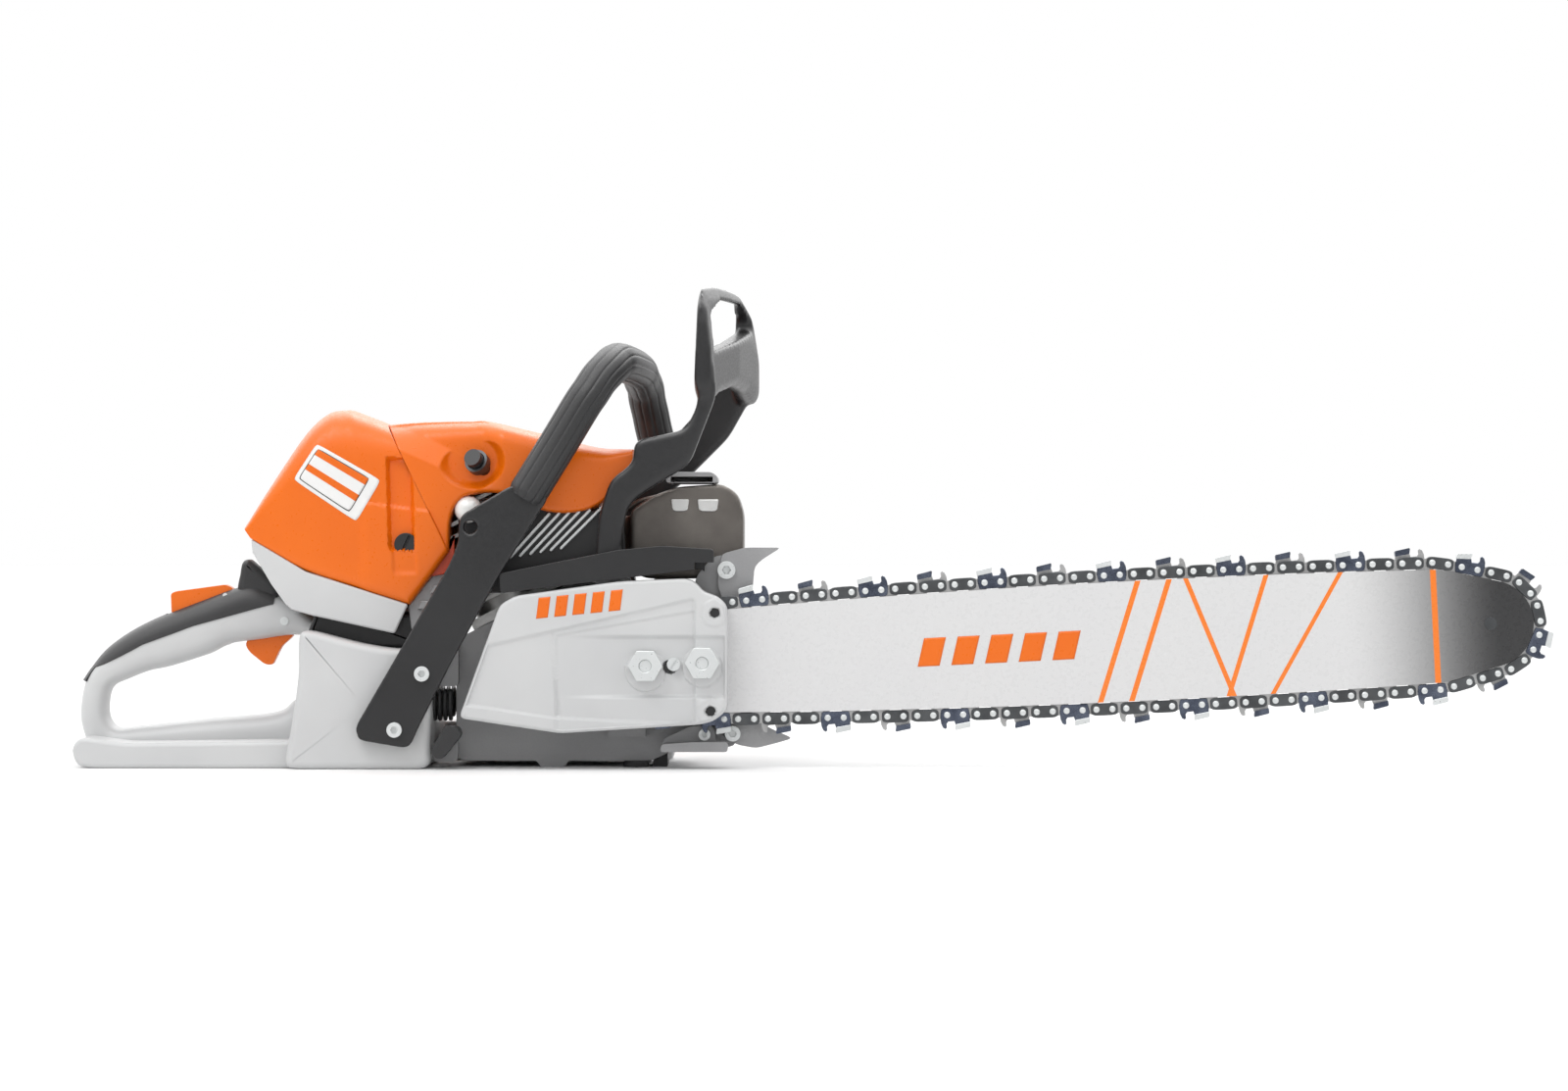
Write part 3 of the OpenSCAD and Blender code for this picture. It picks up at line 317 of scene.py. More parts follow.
def smooth_curve(points, count, closed=False):
    """Catmull-Rom curve through the points: each span is the cubic whose end slopes are half the
    difference of the neighbours. Returns count points evenly spaced by arc length."""
    p = np.asarray(points, float)
    if closed:
        p = np.vstack([p[-1], p, p[0], p[1]])
    else:
        p = np.vstack([2 * p[0] - p[1], p, 2 * p[-1] - p[-2]])
    t = np.linspace(0, 1, 12, endpoint=False)[:, None, None]
    a, b, c, d = p[:-3], p[1:-2], p[2:-1], p[3:]
    spans = 0.5 * (2 * b + (c - a) * t + (2 * a - 5 * b + 4 * c - d) * t ** 2 + (3 * b - a - 3 * c + d) * t ** 3)
    dense = np.vstack([spans.transpose(1, 0, 2).reshape(-1, p.shape[1]), p[-2]])
    return even(dense, count, closed)


def even(points, count, closed=False):
    """The polyline resampled to count points evenly spaced along its length."""
    p = np.asarray(points, float)
    run = np.concatenate([[0], np.cumsum(np.linalg.norm(np.diff(p, axis=0), axis=1))])
    at = np.linspace(0, run[-1], count, endpoint=not closed)
    return np.stack([np.interp(at, run, p[:, k]) for k in range(p.shape[1])], axis=1)


def around(count):
    """Angles evenly spaced round a full turn."""
    return np.linspace(0, 2 * np.pi, count, endpoint=False)


def at_depth(points, y):
    """Side-view points (x, z) as (x, y, z)."""
    return np.insert(points, 1, y, axis=1)


def grid_faces(rows, cols, loop_rows=False, loop_cols=True):
    """Corner numbers of the quads over a grid, and of its first and last row. loop_rows joins the last row
    to the first, loop_cols the last column to the first."""
    index = np.arange(rows * cols).reshape(rows, cols)
    r = np.vstack([index, index[:1]]) if loop_rows else index
    r = np.hstack([r, r[:, :1]]) if loop_cols else r
    quads = np.stack([r[:-1, :-1], r[:-1, 1:], r[1:, 1:], r[1:, :-1]], axis=-1).reshape(-1, 4)
    return quads, index[0][::-1], index[-1]


def grid_mesh(grid, loop_rows=False, loop_cols=True, caps="both"):
    """A mesh over grid[row, column, xyz]. caps closes both end rows, only the last, or with "" neither."""
    quads, first, last = grid_faces(*grid.shape[:2], loop_rows, loop_cols)
    faces = quads.tolist() + ([first.tolist()] if caps == "both" else []) + ([last.tolist()] if caps else [])
    mesh = bpy.data.meshes.new("grid")
    mesh.from_pydata(grid.reshape(-1, 3).tolist(), [], faces)
    return tidy(mesh)


def tidy(mesh):
    """Doubles merged, faces turned outwards, and shaded smooth up to the sharp angle; the big closing
    faces stay flat."""
    work = bmesh.new()
    work.from_mesh(mesh)
    bmesh.ops.remove_doubles(work, verts=work.verts, dist=2e-6)
    bmesh.ops.dissolve_degenerate(work, edges=work.edges, dist=1e-6)
    bmesh.ops.recalc_face_normals(work, faces=work.faces)
    work.to_mesh(mesh)
    work.free()
    mesh.shade_smooth()
    mesh.set_sharp_from_angle(angle=sharp_angle)
    corners = np.empty(len(mesh.polygons), int)
    mesh.polygons.foreach_get("loop_total", corners)
    mesh.polygons.foreach_set("use_smooth", corners <= 4)
    return mesh


def register(name, mesh, material, body="saw", replaces=(), bevel=0):
    """Puts the mesh in the scene at the origin with its finish, its body and the nodes it stands for."""
    piece = bpy.data.objects.new(name, mesh)
    scene.collection.objects.link(piece)
    paint(mesh, material)
    if bevel:
        edge = piece.modifiers.new("edges", "BEVEL")
        edge.width = bevel
        edge.segments = 3
        edge.limit_method = "ANGLE"
        edge.angle_limit = rounding_angle
        edge.harden_normals = True
    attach(piece, body)
    if replaces:
        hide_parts(*replaces)
    return piece


def mesh_of(piece):
    """The piece's mesh with its modifiers worked in."""
    graph = bpy.context.evaluated_depsgraph_get()
    return bpy.data.meshes.new_from_object(piece.evaluated_get(graph), depsgraph=graph)


def carve(mesh, cutter):
    """The mesh with the cutter mesh taken out of it by an exact boolean."""
    base, tool = bpy.data.objects.new("work", mesh), bpy.data.objects.new("tool", cutter)
    for thing in (base, tool):
        scene.collection.objects.link(thing)
    cut = base.modifiers.new("cut", "BOOLEAN")
    cut.operation = "DIFFERENCE"
    cut.solver = "EXACT"
    cut.object = tool
    bpy.context.view_layer.update()
    carved = mesh_of(base)
    for thing in (base, tool):
        bpy.data.objects.remove(thing)
    return tidy(carved)


def prism(outline, y0, y1):
    """A closed side-view outline (x, z) made a solid between two depths."""
    p = np.asarray(outline, float)
    return grid_mesh(np.stack([at_depth(p, y) for y in (y0, y1)]))


def rod(x, z, radius, y0, y1):
    """A round bar along Y."""
    a = around(40)
    return prism(np.column_stack([x + radius * np.cos(a), z + radius * np.sin(a)]), y0, y1)


def superellipse(angle, power):
    """(cos, sin) of the angle, each raised to 2 / power with its sign kept: 2 is a circle, more is boxier."""
    c, s = np.cos(angle), np.sin(angle)
    return np.sign(c) * np.abs(c) ** (2 / power), np.sign(s) * np.abs(s) ** (2 / power)


def inward(outline, amount):
    """The closed outline moved inwards along its own normals."""
    p = np.asarray(outline, float)
    run = np.roll(p, -1, axis=0) - np.roll(p, 1, axis=0)
    side = np.column_stack([-run[:, 1], run[:, 0]])
    side /= np.linalg.norm(side, axis=1)[:, None] + 1e-12
    area = np.sum(p[:, 0] * np.roll(p[:, 1], -1) - np.roll(p[:, 0], -1) * p[:, 1])
    return p + np.sign(area) * side * amount


def pillow(outline, y0, y1, radius, middle=None):
    """A slab between two depths whose rim is a quarter circle: at angle a the outline is drawn in by
    radius * (1 - cos a) while the depth moves by radius * sin a. With a middle point the two faces are
    made of rings that shrink to it."""
    a = np.linspace(np.pi / 2, 0, 5)
    near = [(radius * (1 - np.cos(t)), y0 + radius * (1 - np.sin(t))) for t in a]
    far = [(radius * (1 - np.cos(t)), y1 - radius * (1 - np.sin(t))) for t in a[::-1]]
    near, far = [(radius * 1.08, y0)] + near, far + [(radius * 1.08, y1)]
    rings = [at_depth(inward(outline, draw), depth) for draw, depth in near + far]
    if middle is not None:
        centre = np.array([middle[0], 0, middle[1]])
        for share in (0.6, 0.3, 0.003):
            squeeze = np.array([share, 1, share])
            rings = [centre + (rings[0] - centre) * squeeze, *rings, centre + (rings[-1] - centre) * squeeze]
    return grid_mesh(np.stack(rings))


def soft_outline(points, radius, count=160):
    """A closed outline with its corners rounded: dense points along it, each replaced by a bell-shaped
    average of its neighbours within about the radius."""
    p = even(np.vstack([points, points[:1]]) * mm, 1200, closed=True)
    spacing = np.linalg.norm(p[1] - p[0])
    reach = np.arange(-150, 151)
    weight = np.exp(-0.5 * (reach * spacing / (0.55 * radius * mm)) ** 2)
    turned = np.stack([np.roll(p, k, axis=0) for k in reach])
    return even(np.tensordot(weight / weight.sum(), turned, axes=1), count, closed=True)


def soft_slab(name, points, corner, y0, y1, roll, material, **more):
    """A pillow over a soft outline, put in the scene."""
    return register(name, pillow(soft_outline(points, corner), y0, y1, roll), material, **more)


def rounded_node(node, width):
    """A copy of a CAD node, its triangles merged back into flat faces and its edges rounded."""
    mesh = nodes[node].data.copy()
    work = bmesh.new()
    work.from_mesh(mesh)
    bmesh.ops.remove_doubles(work, verts=work.verts, dist=1e-6)
    bmesh.ops.dissolve_limit(work, angle_limit=math.radians(1.5), verts=work.verts, edges=work.edges)
    work.to_mesh(mesh)
    work.free()
    mesh.shade_smooth()
    mesh.set_sharp_from_angle(angle=rounding_angle)
    return register(node + "_shape", mesh, slot_of[node], body_of[node], (node,), bevel=width)


print("helpers ready")

# %% [markdown]
# The rear handle is a loop. Its section is a rounded box that changes all the way round, so it is set
# by pairs of points: one on the inside of the loop, one on the outside. A superellipse joins each pair.
# Under the soft grip the loop reaches the grip's outside, and the grip is a thin skin over it.
# %% Rear handle loop
handle_pairs = np.array([
    [-290, 30, -307.5, 24], [-291, 40, -308, 42], [-288, 50.5, -303, 60], [-277, 56, -291, 74],
    [-264, 61, -275, 85.5], [-250, 64, -256, 95], [-225, 72, -228, 106], [-212, 78, -209, 113],
    [-192, 81, -190, 114], [-170, 84, -172, 105], [-157, 81, -146, 88], [-155, 69, -132, 72],
    [-162, 50, -138, 48], [-171, 41, -144, 22], [-183, 34, -160, 3], [-225, 30, -225, 1.5], [-271, 25, -274, 3],
    [-284, 24, -298, 6]]) * mm
loop_pairs = smooth_curve(handle_pairs, 150, closed=True)
handle_half_width = 0.0168
handle_power = 2.7


def loop_sections(pairs):
    """Sections between the inner and outer points: middle + reach * cos + depth * sin of a superellipse."""
    inner, outer = at_depth(pairs[:, :2], 0), at_depth(pairs[:, 2:], 0)
    middle, reach = (inner + outer) / 2, (outer - inner) / 2
    c, s = superellipse(around(28), handle_power)
    depth = np.array([0.0, handle_half_width, 0.0])
    return middle[:, None] + reach[:, None] * c[None, :, None] + depth * s[None, :, None]


trigger_slot = [(-212, 60), (-212, 92), (-197, 99), (-181, 102), (-167, 96), (-164, 84), (-165, 60)]
slot_cut = prism(np.array(trigger_slot) * mm, -0.0062, 0.0062)
loop_mesh = grid_mesh(loop_sections(loop_pairs), loop_rows=True, caps="")
loop_piece = register("rear_handle_loop", carve(loop_mesh, slot_cut), "white_plastic", replaces=["tank_housing"])
print("loop faces", len(loop_piece.data.polygons))

# %% [markdown]
# The soft grip is an over-moulded skin. It follows the loop's sections over the top and ends at a
# parting line that drops from the horn to the back of the handle. A horn closes its front end.
# %% Soft grip
grip_pairs = smooth_curve(np.array([
    [-288, 48, -306.5, 55], [-286, 52, -301, 63], [-277, 56, -291, 75], [-264, 61, -275, 86.5], [-250, 64, -256, 96],
    [-225, 72, -228, 107], [-212, 78, -208, 114.5], [-200, 80, -196, 117], [-186, 82, -181, 112]]) * mm, 110)
line_x = np.array([-305, -286, -266, -234, -202, -181]) * mm
line_z = np.array([56, 67, 78, 90, 99, 105]) * mm


def grip_skin(pairs):
    """The outer arc of each section from the parting line on one side over the top to the other side, and
    back along an arc 1.3 mm further in."""
    inner, outer = pairs[:, :2], pairs[:, 2:]
    middle, reach = (inner + outer) / 2, (outer - inner) / 2
    line = np.interp(outer[:, 0] * 0.5 + inner[:, 0] * 0.5, line_x, line_z)
    level = np.clip((line - middle[:, 1]) / np.maximum(reach[:, 1], 0.004), -0.75, 0.75)
    start = np.arccos(np.sign(level) * np.abs(level) ** 1.35)
    angles = start[:, None] * np.linspace(-1, 1, 25)[None, :]
    rows = []
    for swell, order in ((0.0007, 1), (-0.0006, -1)):
        c, s = superellipse(angles[:, ::order], handle_power)
        unit = reach / np.linalg.norm(reach, axis=1)[:, None]
        along = reach + unit * swell
        xz = middle[:, None] + along[:, None] * c[..., None]
        rows.append(np.stack([xz[..., 0], (handle_half_width + swell) * s, xz[..., 1]], axis=-1))
    return np.concatenate(rows, axis=1)


grip_mesh = grid_mesh(grip_skin(grip_pairs))
lock_slot = prism(np.array([(-253, 90), (-253, 130), (-206, 130), (-206, 105), (-220, 101.5)]) * mm, -0.0078, 0.0078)
grip_piece = register("soft_grip_skin", carve(grip_mesh, lock_slot), "soft_grip", replaces=["rear_grip"])
horn_outline = smooth_curve(np.array([
    (-206, 111), (-204.5, 124), (-203, 131), (-199.5, 133.3), (-196, 131), (-189, 124.5), (-182, 118), (-179.5, 111),
    (-184, 104), (-198, 103)]) * mm, 60, closed=True)
horn = register("grip_horn", pillow(horn_outline, -0.0125, 0.0125, 0.004), "soft_grip")
print("grip", len(grip_piece.data.polygons), "horn", len(horn.data.polygons))

# %% [markdown]
# The tank is a blow-moulded box with soft corners. Its outline is drawn in side view and its rim is
# rolled over with a large radius; the foot is a wide flat skid under the handle, and a tongue on the
# starter side carries the front handle's lower end.
# %% Fuel tank, foot and tongue
tank_outline = soft_outline([(-170, 0), (-76, 0), (-76, 76), (-102, 76.5), (-122, 80), (-145, 86), (-160, 90),
                             (-160, 60), (-164, 30)], 10)
register("fuel_tank", pillow(tank_outline, -0.076, 0.060, 0.0045, middle=(-0.118, 0.040)), "white_plastic",
         replaces=["tank_housing"])
soft_slab("handle_foot", [(-303, 1), (-290, 0), (-120, 0), (-120, 18), (-272, 16), (-302, 20), (-307, 12)], 6,
          -0.062, 0.045, 0.0028, "white_plastic", replaces=["tank_housing"])
soft_slab("starter_side_tongue", [(-92, 0), (76, 0), (76, 22), (46, 22), (41, 9), (-54, 9), (-65, 26), (-92, 26)], 5,
          0.058, 0.092, 0.002, "white_plastic", replaces=["tank_housing"])
for place_x, place_z in ((-80.6, 61), (-98, 25.5)):
    boss = rod(place_x * mm, place_z * mm, 0.009, -0.0779, -0.070)
    register("bracket_boss_%d" % -int(place_x), boss, "white_plastic")
print("tank done")

# %% [markdown]
# Moulded and cast parts never have a knife edge: a mould is cut with a round tool, and a sharp corner
# would crack. The CAD parts whose shape is already right get a copy with rounded edges, each with the
# radius its process leaves: large on plastic covers, small on pressed steel.
# %% Parts that keep their shape and get rounded edges
edge_radius = {
    "brake_cover": 0.7, "throttle_trigger": 2.2, "throttle_lockout": 1.6, "stop_lever": 1.0, "fuel_cap": 1.5,
    "fuel_cap_bail": 0.8, "oil_cap": 1.5, "crankcase_right": 1.0, "crankcase_left": 1.0, "starter_housing": 1.4,
    "starter_grip": 2.0, "bumper_spike": 0.5, "chain_catcher": 0.8, "rubber_pads": 0.8, "muffler_deflector": 0.4,
    "cover_lock_screw": 0.5, "bar_fasteners": 0.4, "case_screws": 0.25, "plug_boot": 1.2, "cylinder_block": 0.35,
    "filter_base": 1.0, "filter_cover_skirt": 2.0}
for node, radius in edge_radius.items():
    piece = rounded_node(node, radius * mm)
    print(node, len(piece.data.polygons), "faces,", radius, "mm")

# %% [markdown]
# The filter cover and the shroud are one flowing hood, split by a slanting seam. Each is a thin
# moulding with flat sides, a rolled shoulder and a nearly flat roof. A run of stations leans with the
# seam; each station is a boxy ring between a low point and a high point. The near side is then pressed
# in by a depth that is a function of x and z: a lead-in channel for the lock screw, creases, and a
# hollow round the decompression button.
# %% Hood surface
hood_half_width = 0.059
hood_middle = -0.001
wall_thickness = 2.2 * mm


def boxy_ring(count, top, bottom):
    """(up, side) of a superellipse whose power is top above the middle and bottom below it, resampled
    so that its points are evenly spaced."""
    angle = np.linspace(0, 2 * np.pi, 4001)
    c, s = superellipse(angle, np.where(np.cos(angle) > 0, top, bottom))
    return even(np.column_stack([c, s]), count, closed=True)


def hood(low, high, top):
    """Rings between low[i] and high[i] (x, z), smoothed between stations: middle + reach * up, and
    y = hood_middle + hood_half_width * side."""
    pairs = smooth_curve(np.hstack([low, high]) * mm, 150)
    a, b = at_depth(pairs[:, :2], 0), at_depth(pairs[:, 2:], 0)
    up, side = boxy_ring(240, top, 26).T
    grid = ((a + b) / 2)[:, None] + ((b - a) / 2)[:, None] * up[None, :, None]
    grid[..., 1] = hood_middle + hood_half_width * side[None, :]
    return grid


def ramp(value, width):
    """0 below zero, 1 above the width, and a smooth S between."""
    t = np.clip(value / width, 0, 1)
    return t * t * (3 - 2 * t)


def above(x, z, x0, z0, x1, z1):
    """Height of a point over the line through two points, in millimetres."""
    return z - (z0 + (x - x0) * (z1 - z0) / (x1 - x0))


def in_box(x, z, x0, x1, z0, z1, soft):
    """1 inside the box and 0 outside, with an edge that ramps over the soft width."""
    return ramp(x - x0, soft) * ramp(x1 - x, soft) * ramp(z - z0, soft) * ramp(z1 - z, soft)


def pressed(grid, depth):
    """The grid with its near side moved in (+y) by depth(x, z) mm, fading out over the shoulders."""
    x, z = grid[..., 0] / mm, grid[..., 2] / mm
    near = ramp(-grid[..., 1] / mm - 38, 12)
    grid[..., 1] += depth(x, z) * near * mm
    return grid


cover_low = [(-65.4, 138), (-88, 107.6), (-91.4, 104.8), (-97, 106.4), (-126, 115.5), (-157, 125.9), (-180, 139),
             (-192, 146.7)]
cover_high = [(-106, 220.4), (-127, 228.6), (-131, 229.8), (-134, 229.8), (-145, 227.6), (-159, 214.5), (-181, 181),
              (-197, 154)]


def cover_depth(x, z):
    """Channel 5 mm deep above the lock screw, a pocket 1.2 mm deep below it, and two fine creases."""
    slant = 0.16 * (z - 150) / 50
    channel = 5.0 * in_box(x + 9 * slant, z, -104.5, -87, 139, 199, 2.2)
    pocket = 1.2 * in_box(x + 9 * slant, z, -102, -86, 124, 139.5, 1.2)
    low_half = 1.5 * ramp(-above(x, z, -128, 171, -66, 163.5), 1.2) * ramp(x + 124, 8)
    band = 1.5 * ramp(above(x, z, -86, 189, -56, 177), 1.4) * ramp(x + 86, 1.5)
    return channel + pocket - low_half + band


cover_grid = pressed(hood(cover_low, cover_high, 4.6), cover_depth)
cover_piece = register("filter_cover_shell", grid_mesh(cover_grid, caps="last"), "orange_plastic", "air_cover",
                       ["filter_cover"])
print("filter cover", len(cover_piece.data.polygons), "faces")

shroud_low = [(-65.2, 137.6), (-64.6, 158), (-60, 169.5), (-51, 174.6), (-31, 175.2), (-5, 164.5), (15, 163.4),
              (31, 169), (45, 183), (52.4, 193)]
shroud_high = [(-105.6, 220.4), (-87, 221.8), (-66, 222.4), (-52, 222.5), (-40.5, 222.3), (-8, 214.7), (12, 209.6),
               (31, 205.2), (44, 204.5), (51.6, 204.2)]
button = (-48, 196.4)


def shroud_depth(x, z):
    """Above the long crease the side leans in by about 0.5 mm per mm, as far as the shoulder. A teardrop
    hollow round the button is cut back to a flat floor, and a second crease drops from it."""
    crease = above(x, z, -113, 211, -43, 179)
    lean = 0.48 * np.clip(crease, 0, 15) * ramp(-30 - x, 16)
    apart = np.hypot((x - button[0]) * np.where(x < button[0], 0.75, 1.0), z - button[1])
    hollow = 7.0 * ramp(19 - apart, 6) * ramp(212 - z, 2.5)
    return np.maximum(lean, hollow)


shroud_grid = pressed(hood(shroud_low, shroud_high, 5.2), shroud_depth)
shroud_piece = register("top_shroud_shell", grid_mesh(shroud_grid, caps="last"), "orange_plastic", "saw",
                        ["top_shroud"])
for shell in (cover_piece, shroud_piece):
    wall = shell.modifiers.new("wall", "SOLIDIFY")
    wall.thickness = wall_thickness
    wall.offset = -1
    wall.use_even_offset = False
print("shroud", len(shroud_piece.data.polygons), "faces")

# %% [markdown]
# The hand guard, the front handle with its flat bracket and the muffler are soft shapes. Each CAD node
# is already in place but faceted, so a copy is remeshed into small even squares and relaxed: every point
# moves towards the mean of its neighbours a few times. That melts the facets into one soft surface.
# %% Melted copies of faceted parts
def melted_node(node, square, passes):
    """A copy of the node remeshed to squares of the given size (mm) and relaxed the given times."""
    piece = register(node + "_soft", nodes[node].data.copy(), slot_of[node], body_of[node], (node,))
    remesh = piece.modifiers.new("squares", "REMESH")
    remesh.mode = "VOXEL"
    remesh.voxel_size = square * mm
    remesh.use_smooth_shade = True
    relax = piece.modifiers.new("relax", "SMOOTH")
    relax.factor = 0.5
    relax.iterations = passes
    mesh = mesh_of(piece)
    piece.modifiers.clear()
    piece.data = mesh
    paint(mesh, slot_of[node])
    mesh.shade_smooth()
    return piece


for node, square, passes in (("hand_guard", 1.3, 22), ("muffler", 1.6, 10), ("handle_frame", 1.3, 3)):
    piece = melted_node(node, square, passes)
    print(node, len(piece.data.polygons), "faces")

# %% [markdown]
# The sleeve on the front handle is extruded rubber with grooves along its length, so the glove grips
# but chips fall out. It is a ring carried along the handle's path; the ring's radius dips at each groove.
# The path's sideways frame is carried on from point to point, so the grooves never twist.
# %% Grooved sleeve
handle_path = smooth_curve(np.array([
    [-16, -80, 172], [5, -80, 206], [20, -79, 231], [26, -77, 240], [31, -73, 248], [36, -66, 254], [40, -56, 258.5],
    [43, -45, 260], [47, 0, 260], [51, 50, 259], [53, 64, 256.5], [54, 76, 253], [56, 86, 248], [57, 93, 240],
    [59, 98, 231], [61, 100.5, 221], [65, 103, 205]]) * mm, 190)


def swept(path, ring_radius, angles):
    """Rings of ring_radius(angle) square to the path. The frame is turned from one point to the next by
    taking the part of the last sideways direction that is square to the new one."""
    run = np.gradient(path, axis=0)
    run /= np.linalg.norm(run, axis=1)[:, None]
    side = np.array([0.0, 1.0, 0.0])
    sides = []
    for direction in run:
        side = side - direction * side.dot(direction)
        side /= np.linalg.norm(side)
        sides.append(side)
    sides = np.array(sides)
    other = np.cross(run, sides)
    radius = ring_radius(angles)
    return path[:, None] + radius[None, :, None] * (np.cos(angles)[None, :, None] * sides[:, None]
                                                    + np.sin(angles)[None, :, None] * other[:, None])


def grooved(angle):
    """12.4 mm less a dip of 0.55 mm at each of twelve grooves: cos^16 of six times the angle."""
    return (12.4 - 0.55 * np.cos(6 * angle) ** 16) * mm


ring_angles = around(132)
sleeve_grid = swept(handle_path, grooved, ring_angles)
ends = np.ones(len(handle_path))
ends[:3], ends[-3:] = (0.86, 0.94, 0.985), (0.985, 0.94, 0.86)
sleeve_grid = handle_path[:, None] + (sleeve_grid - handle_path[:, None]) * ends[:, None, None]
sleeve = register("handle_sleeve_grooved", grid_mesh(sleeve_grid), "soft_grip", "saw", ["handle_sleeve"])
print("sleeve", len(sleeve.data.polygons), "faces")

# %% [markdown]
# The sprocket cover is a pressed-looking moulding: a rim, a face with two long ridges, a sunk pocket
# round the bar nuts and round bosses. Its rings start at the back edge, come up the side, roll over and
# then shrink towards a middle point, so the face has an even web of points to press the pattern into.
# %% Sprocket cover
sprocket_outline = soft_outline([
    (-57, 33), (7, 23.5), (96, 29), (104, 31), (113, 38), (113, 104), (107, 110), (97, 113), (94, 118), (88, 121.5),
    (44, 119.5), (-21, 110.5), (-31, 105)], 5, 420)
pins = [(105, 99.6), (102.3, 37.5)]
tension_hole = (76.4, 65.4)
nuts = [(61, 62.4), (97, 65)]


def disc(x, z, centres, radius, soft):
    """1 within the radius of any of the centres and 0 outside, with a soft edge inside the radius."""
    return np.maximum.reduce([ramp(radius - np.hypot(x - cx, z - cz), soft) for cx, cz in centres])


def faced_plate(outline, y_back, y_face, radius, middle, depth):
    """A plate whose face is at y_face: rolled edge of the given radius, then rings that shrink towards the
    middle point, each point pressed in by depth(x, z) mm."""
    turn = np.linspace(0, np.pi / 2, 6)
    rows = [at_depth(outline, y_back)]
    for t in turn:
        rows.append(at_depth(inward(outline, radius * (1 - np.cos(t))), y_face + radius * (1 - np.sin(t))))
    edge = inward(outline, radius)
    for share in np.linspace(1, 0.002, 74)[1:]:
        rows.append(at_depth(middle + (edge - middle) * share, y_face))
    grid = np.stack(rows)
    x, z = grid[..., 0] / mm, grid[..., 2] / mm
    grid[len(turn):, :, 1] += depth(x, z)[len(turn):] * mm
    return grid


def sprocket_depth(x, z):
    """Below the upper ridge line the face steps in 1.8 mm, with a second line that opens from it; the nut
    pocket deepens to 2.6 mm, and bosses round the nuts and discs round the pins stand up again."""
    under = 1.8 * ramp(-above(x, z, -38, 80, 89, 109), 2.2) * ramp(93 - x, 2)
    second = 1.1 * ramp(-above(x, z, 3, 86, 89, 101), 1.8) * ramp(x - 3, 3) * ramp(93 - x, 2)
    low = -2.0 * ramp(-np.where(x < 7, above(x, z, -53, 42.5, 7, 34), above(x, z, 7, 34, 88, 30.5)), 2.0)
    seam = 0.5 * ramp(1.2 - np.abs(x - (2 + 0.075 * (87 - z))), 0.8) * ramp(z - 34, 1) * ramp(87 - z, 1)
    pocket = 2.6 * ramp(x - 2, 50) * in_box(x, z, 2, 118, 45, 86, 3)
    boss = 1.6 * disc(x, z, nuts, 13, 1)
    hole = 4 * disc(x, z, [tension_hole], 4.4, 0.8)
    around_pins = disc(x, z, pins, 9, 0.8)
    face = under + second + low + seam + pocket - boss + hole
    return face * (1 - around_pins) - 0.8 * around_pins + 3 * disc(x, z, pins, 3.6, 0.6)


(_, cover_face, _), (_, cover_back, _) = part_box("sprocket_cover")
plate_face = cover_face + 1.6 * mm
cover_body = body_of["sprocket_cover"]
face_middle = np.array([38, 70]) * mm
sprocket_grid = faced_plate(sprocket_outline, cover_back, plate_face, 2.2 * mm, face_middle, sprocket_depth)
sprocket = register("sprocket_cover_face", grid_mesh(sprocket_grid), "white_plastic", cover_body, ["sprocket_cover"])
for number, ((x, z), depth) in enumerate(zip((*pins, tension_hole), (1.4, 1.4, 4.2))):
    floor_y = plate_face + depth * mm
    plug = rod(x * mm, z * mm, 3.6 * mm, floor_y, floor_y + 2 * mm)
    register("cover_hole_%d" % number, plug, "black_plastic", cover_body)
print("sprocket cover y from", round(cover_face, 4), "to", round(cover_back, 4))

# %% [markdown]
# A blank label sits on the filter cover: white film with a thin frame and two plain bars in place of
# printed text. It is a flat grid with rounded corners that is pressed on to the cover by a Shrinkwrap
# modifier, so it follows the cover's curve, and each layer stands one film's thickness above the last.
# %% Blank label
label_corners = np.array([(-150, 207.5), (-108.8, 184), (-124.5, 157.4), (-164.8, 184.5)])
in_front = -0.1
film = 0.12 * mm


def label_grid(u0, u1, v0, v1, rounding=0.035):
    """Points of the label's parallelogram, at u along its long side and v along its short side. The
    corners are drawn in by rounding * (p * q)^8, where p and q run from -1 to 1 across the label."""
    u, v = np.meshgrid(np.linspace(u0, u1, 24), np.linspace(v0, v1, 24))
    a, b, c, d = label_corners
    wide, tall = abs(u1 - u0), abs(v1 - v0)
    p, q = (u - u0) / wide * 2 - 1, (v - v0) / tall * 2 - 1
    squeeze = 1 - rounding * (p * q) ** 8
    u, v = u0 + wide * (p * squeeze + 1) / 2, v0 + tall * (q * squeeze + 1) / 2
    u, v = u[..., None], v[..., None]
    x, z = np.moveaxis((1 - u) * (1 - v) * a + u * (1 - v) * b + u * v * c + (1 - u) * v * d, -1, 0) * mm
    return np.stack([x, np.full(x.shape, in_front), z], axis=-1)


def pressed_on(name, grid, material, layer, target, body):
    """The grid pressed along Y on to the target, as the layer counted from the surface."""
    sheet = register(name, grid_mesh(grid, loop_cols=False, caps=""), material, body)
    wrap = sheet.modifiers.new("press", "SHRINKWRAP")
    wrap.wrap_method = "PROJECT"
    wrap.use_project_y = True
    wrap.use_positive_direction = True
    wrap.use_negative_direction = True
    wrap.target = target
    wrap.wrap_mode = "ABOVE_SURFACE"
    wrap.offset = layer * film
    bpy.context.view_layer.update()
    mesh = mesh_of(sheet)
    sheet.modifiers.clear()
    sheet.data = mesh
    thick = sheet.modifiers.new("film", "SOLIDIFY")
    thick.thickness = 0.1 * mm
    thick.offset = 0


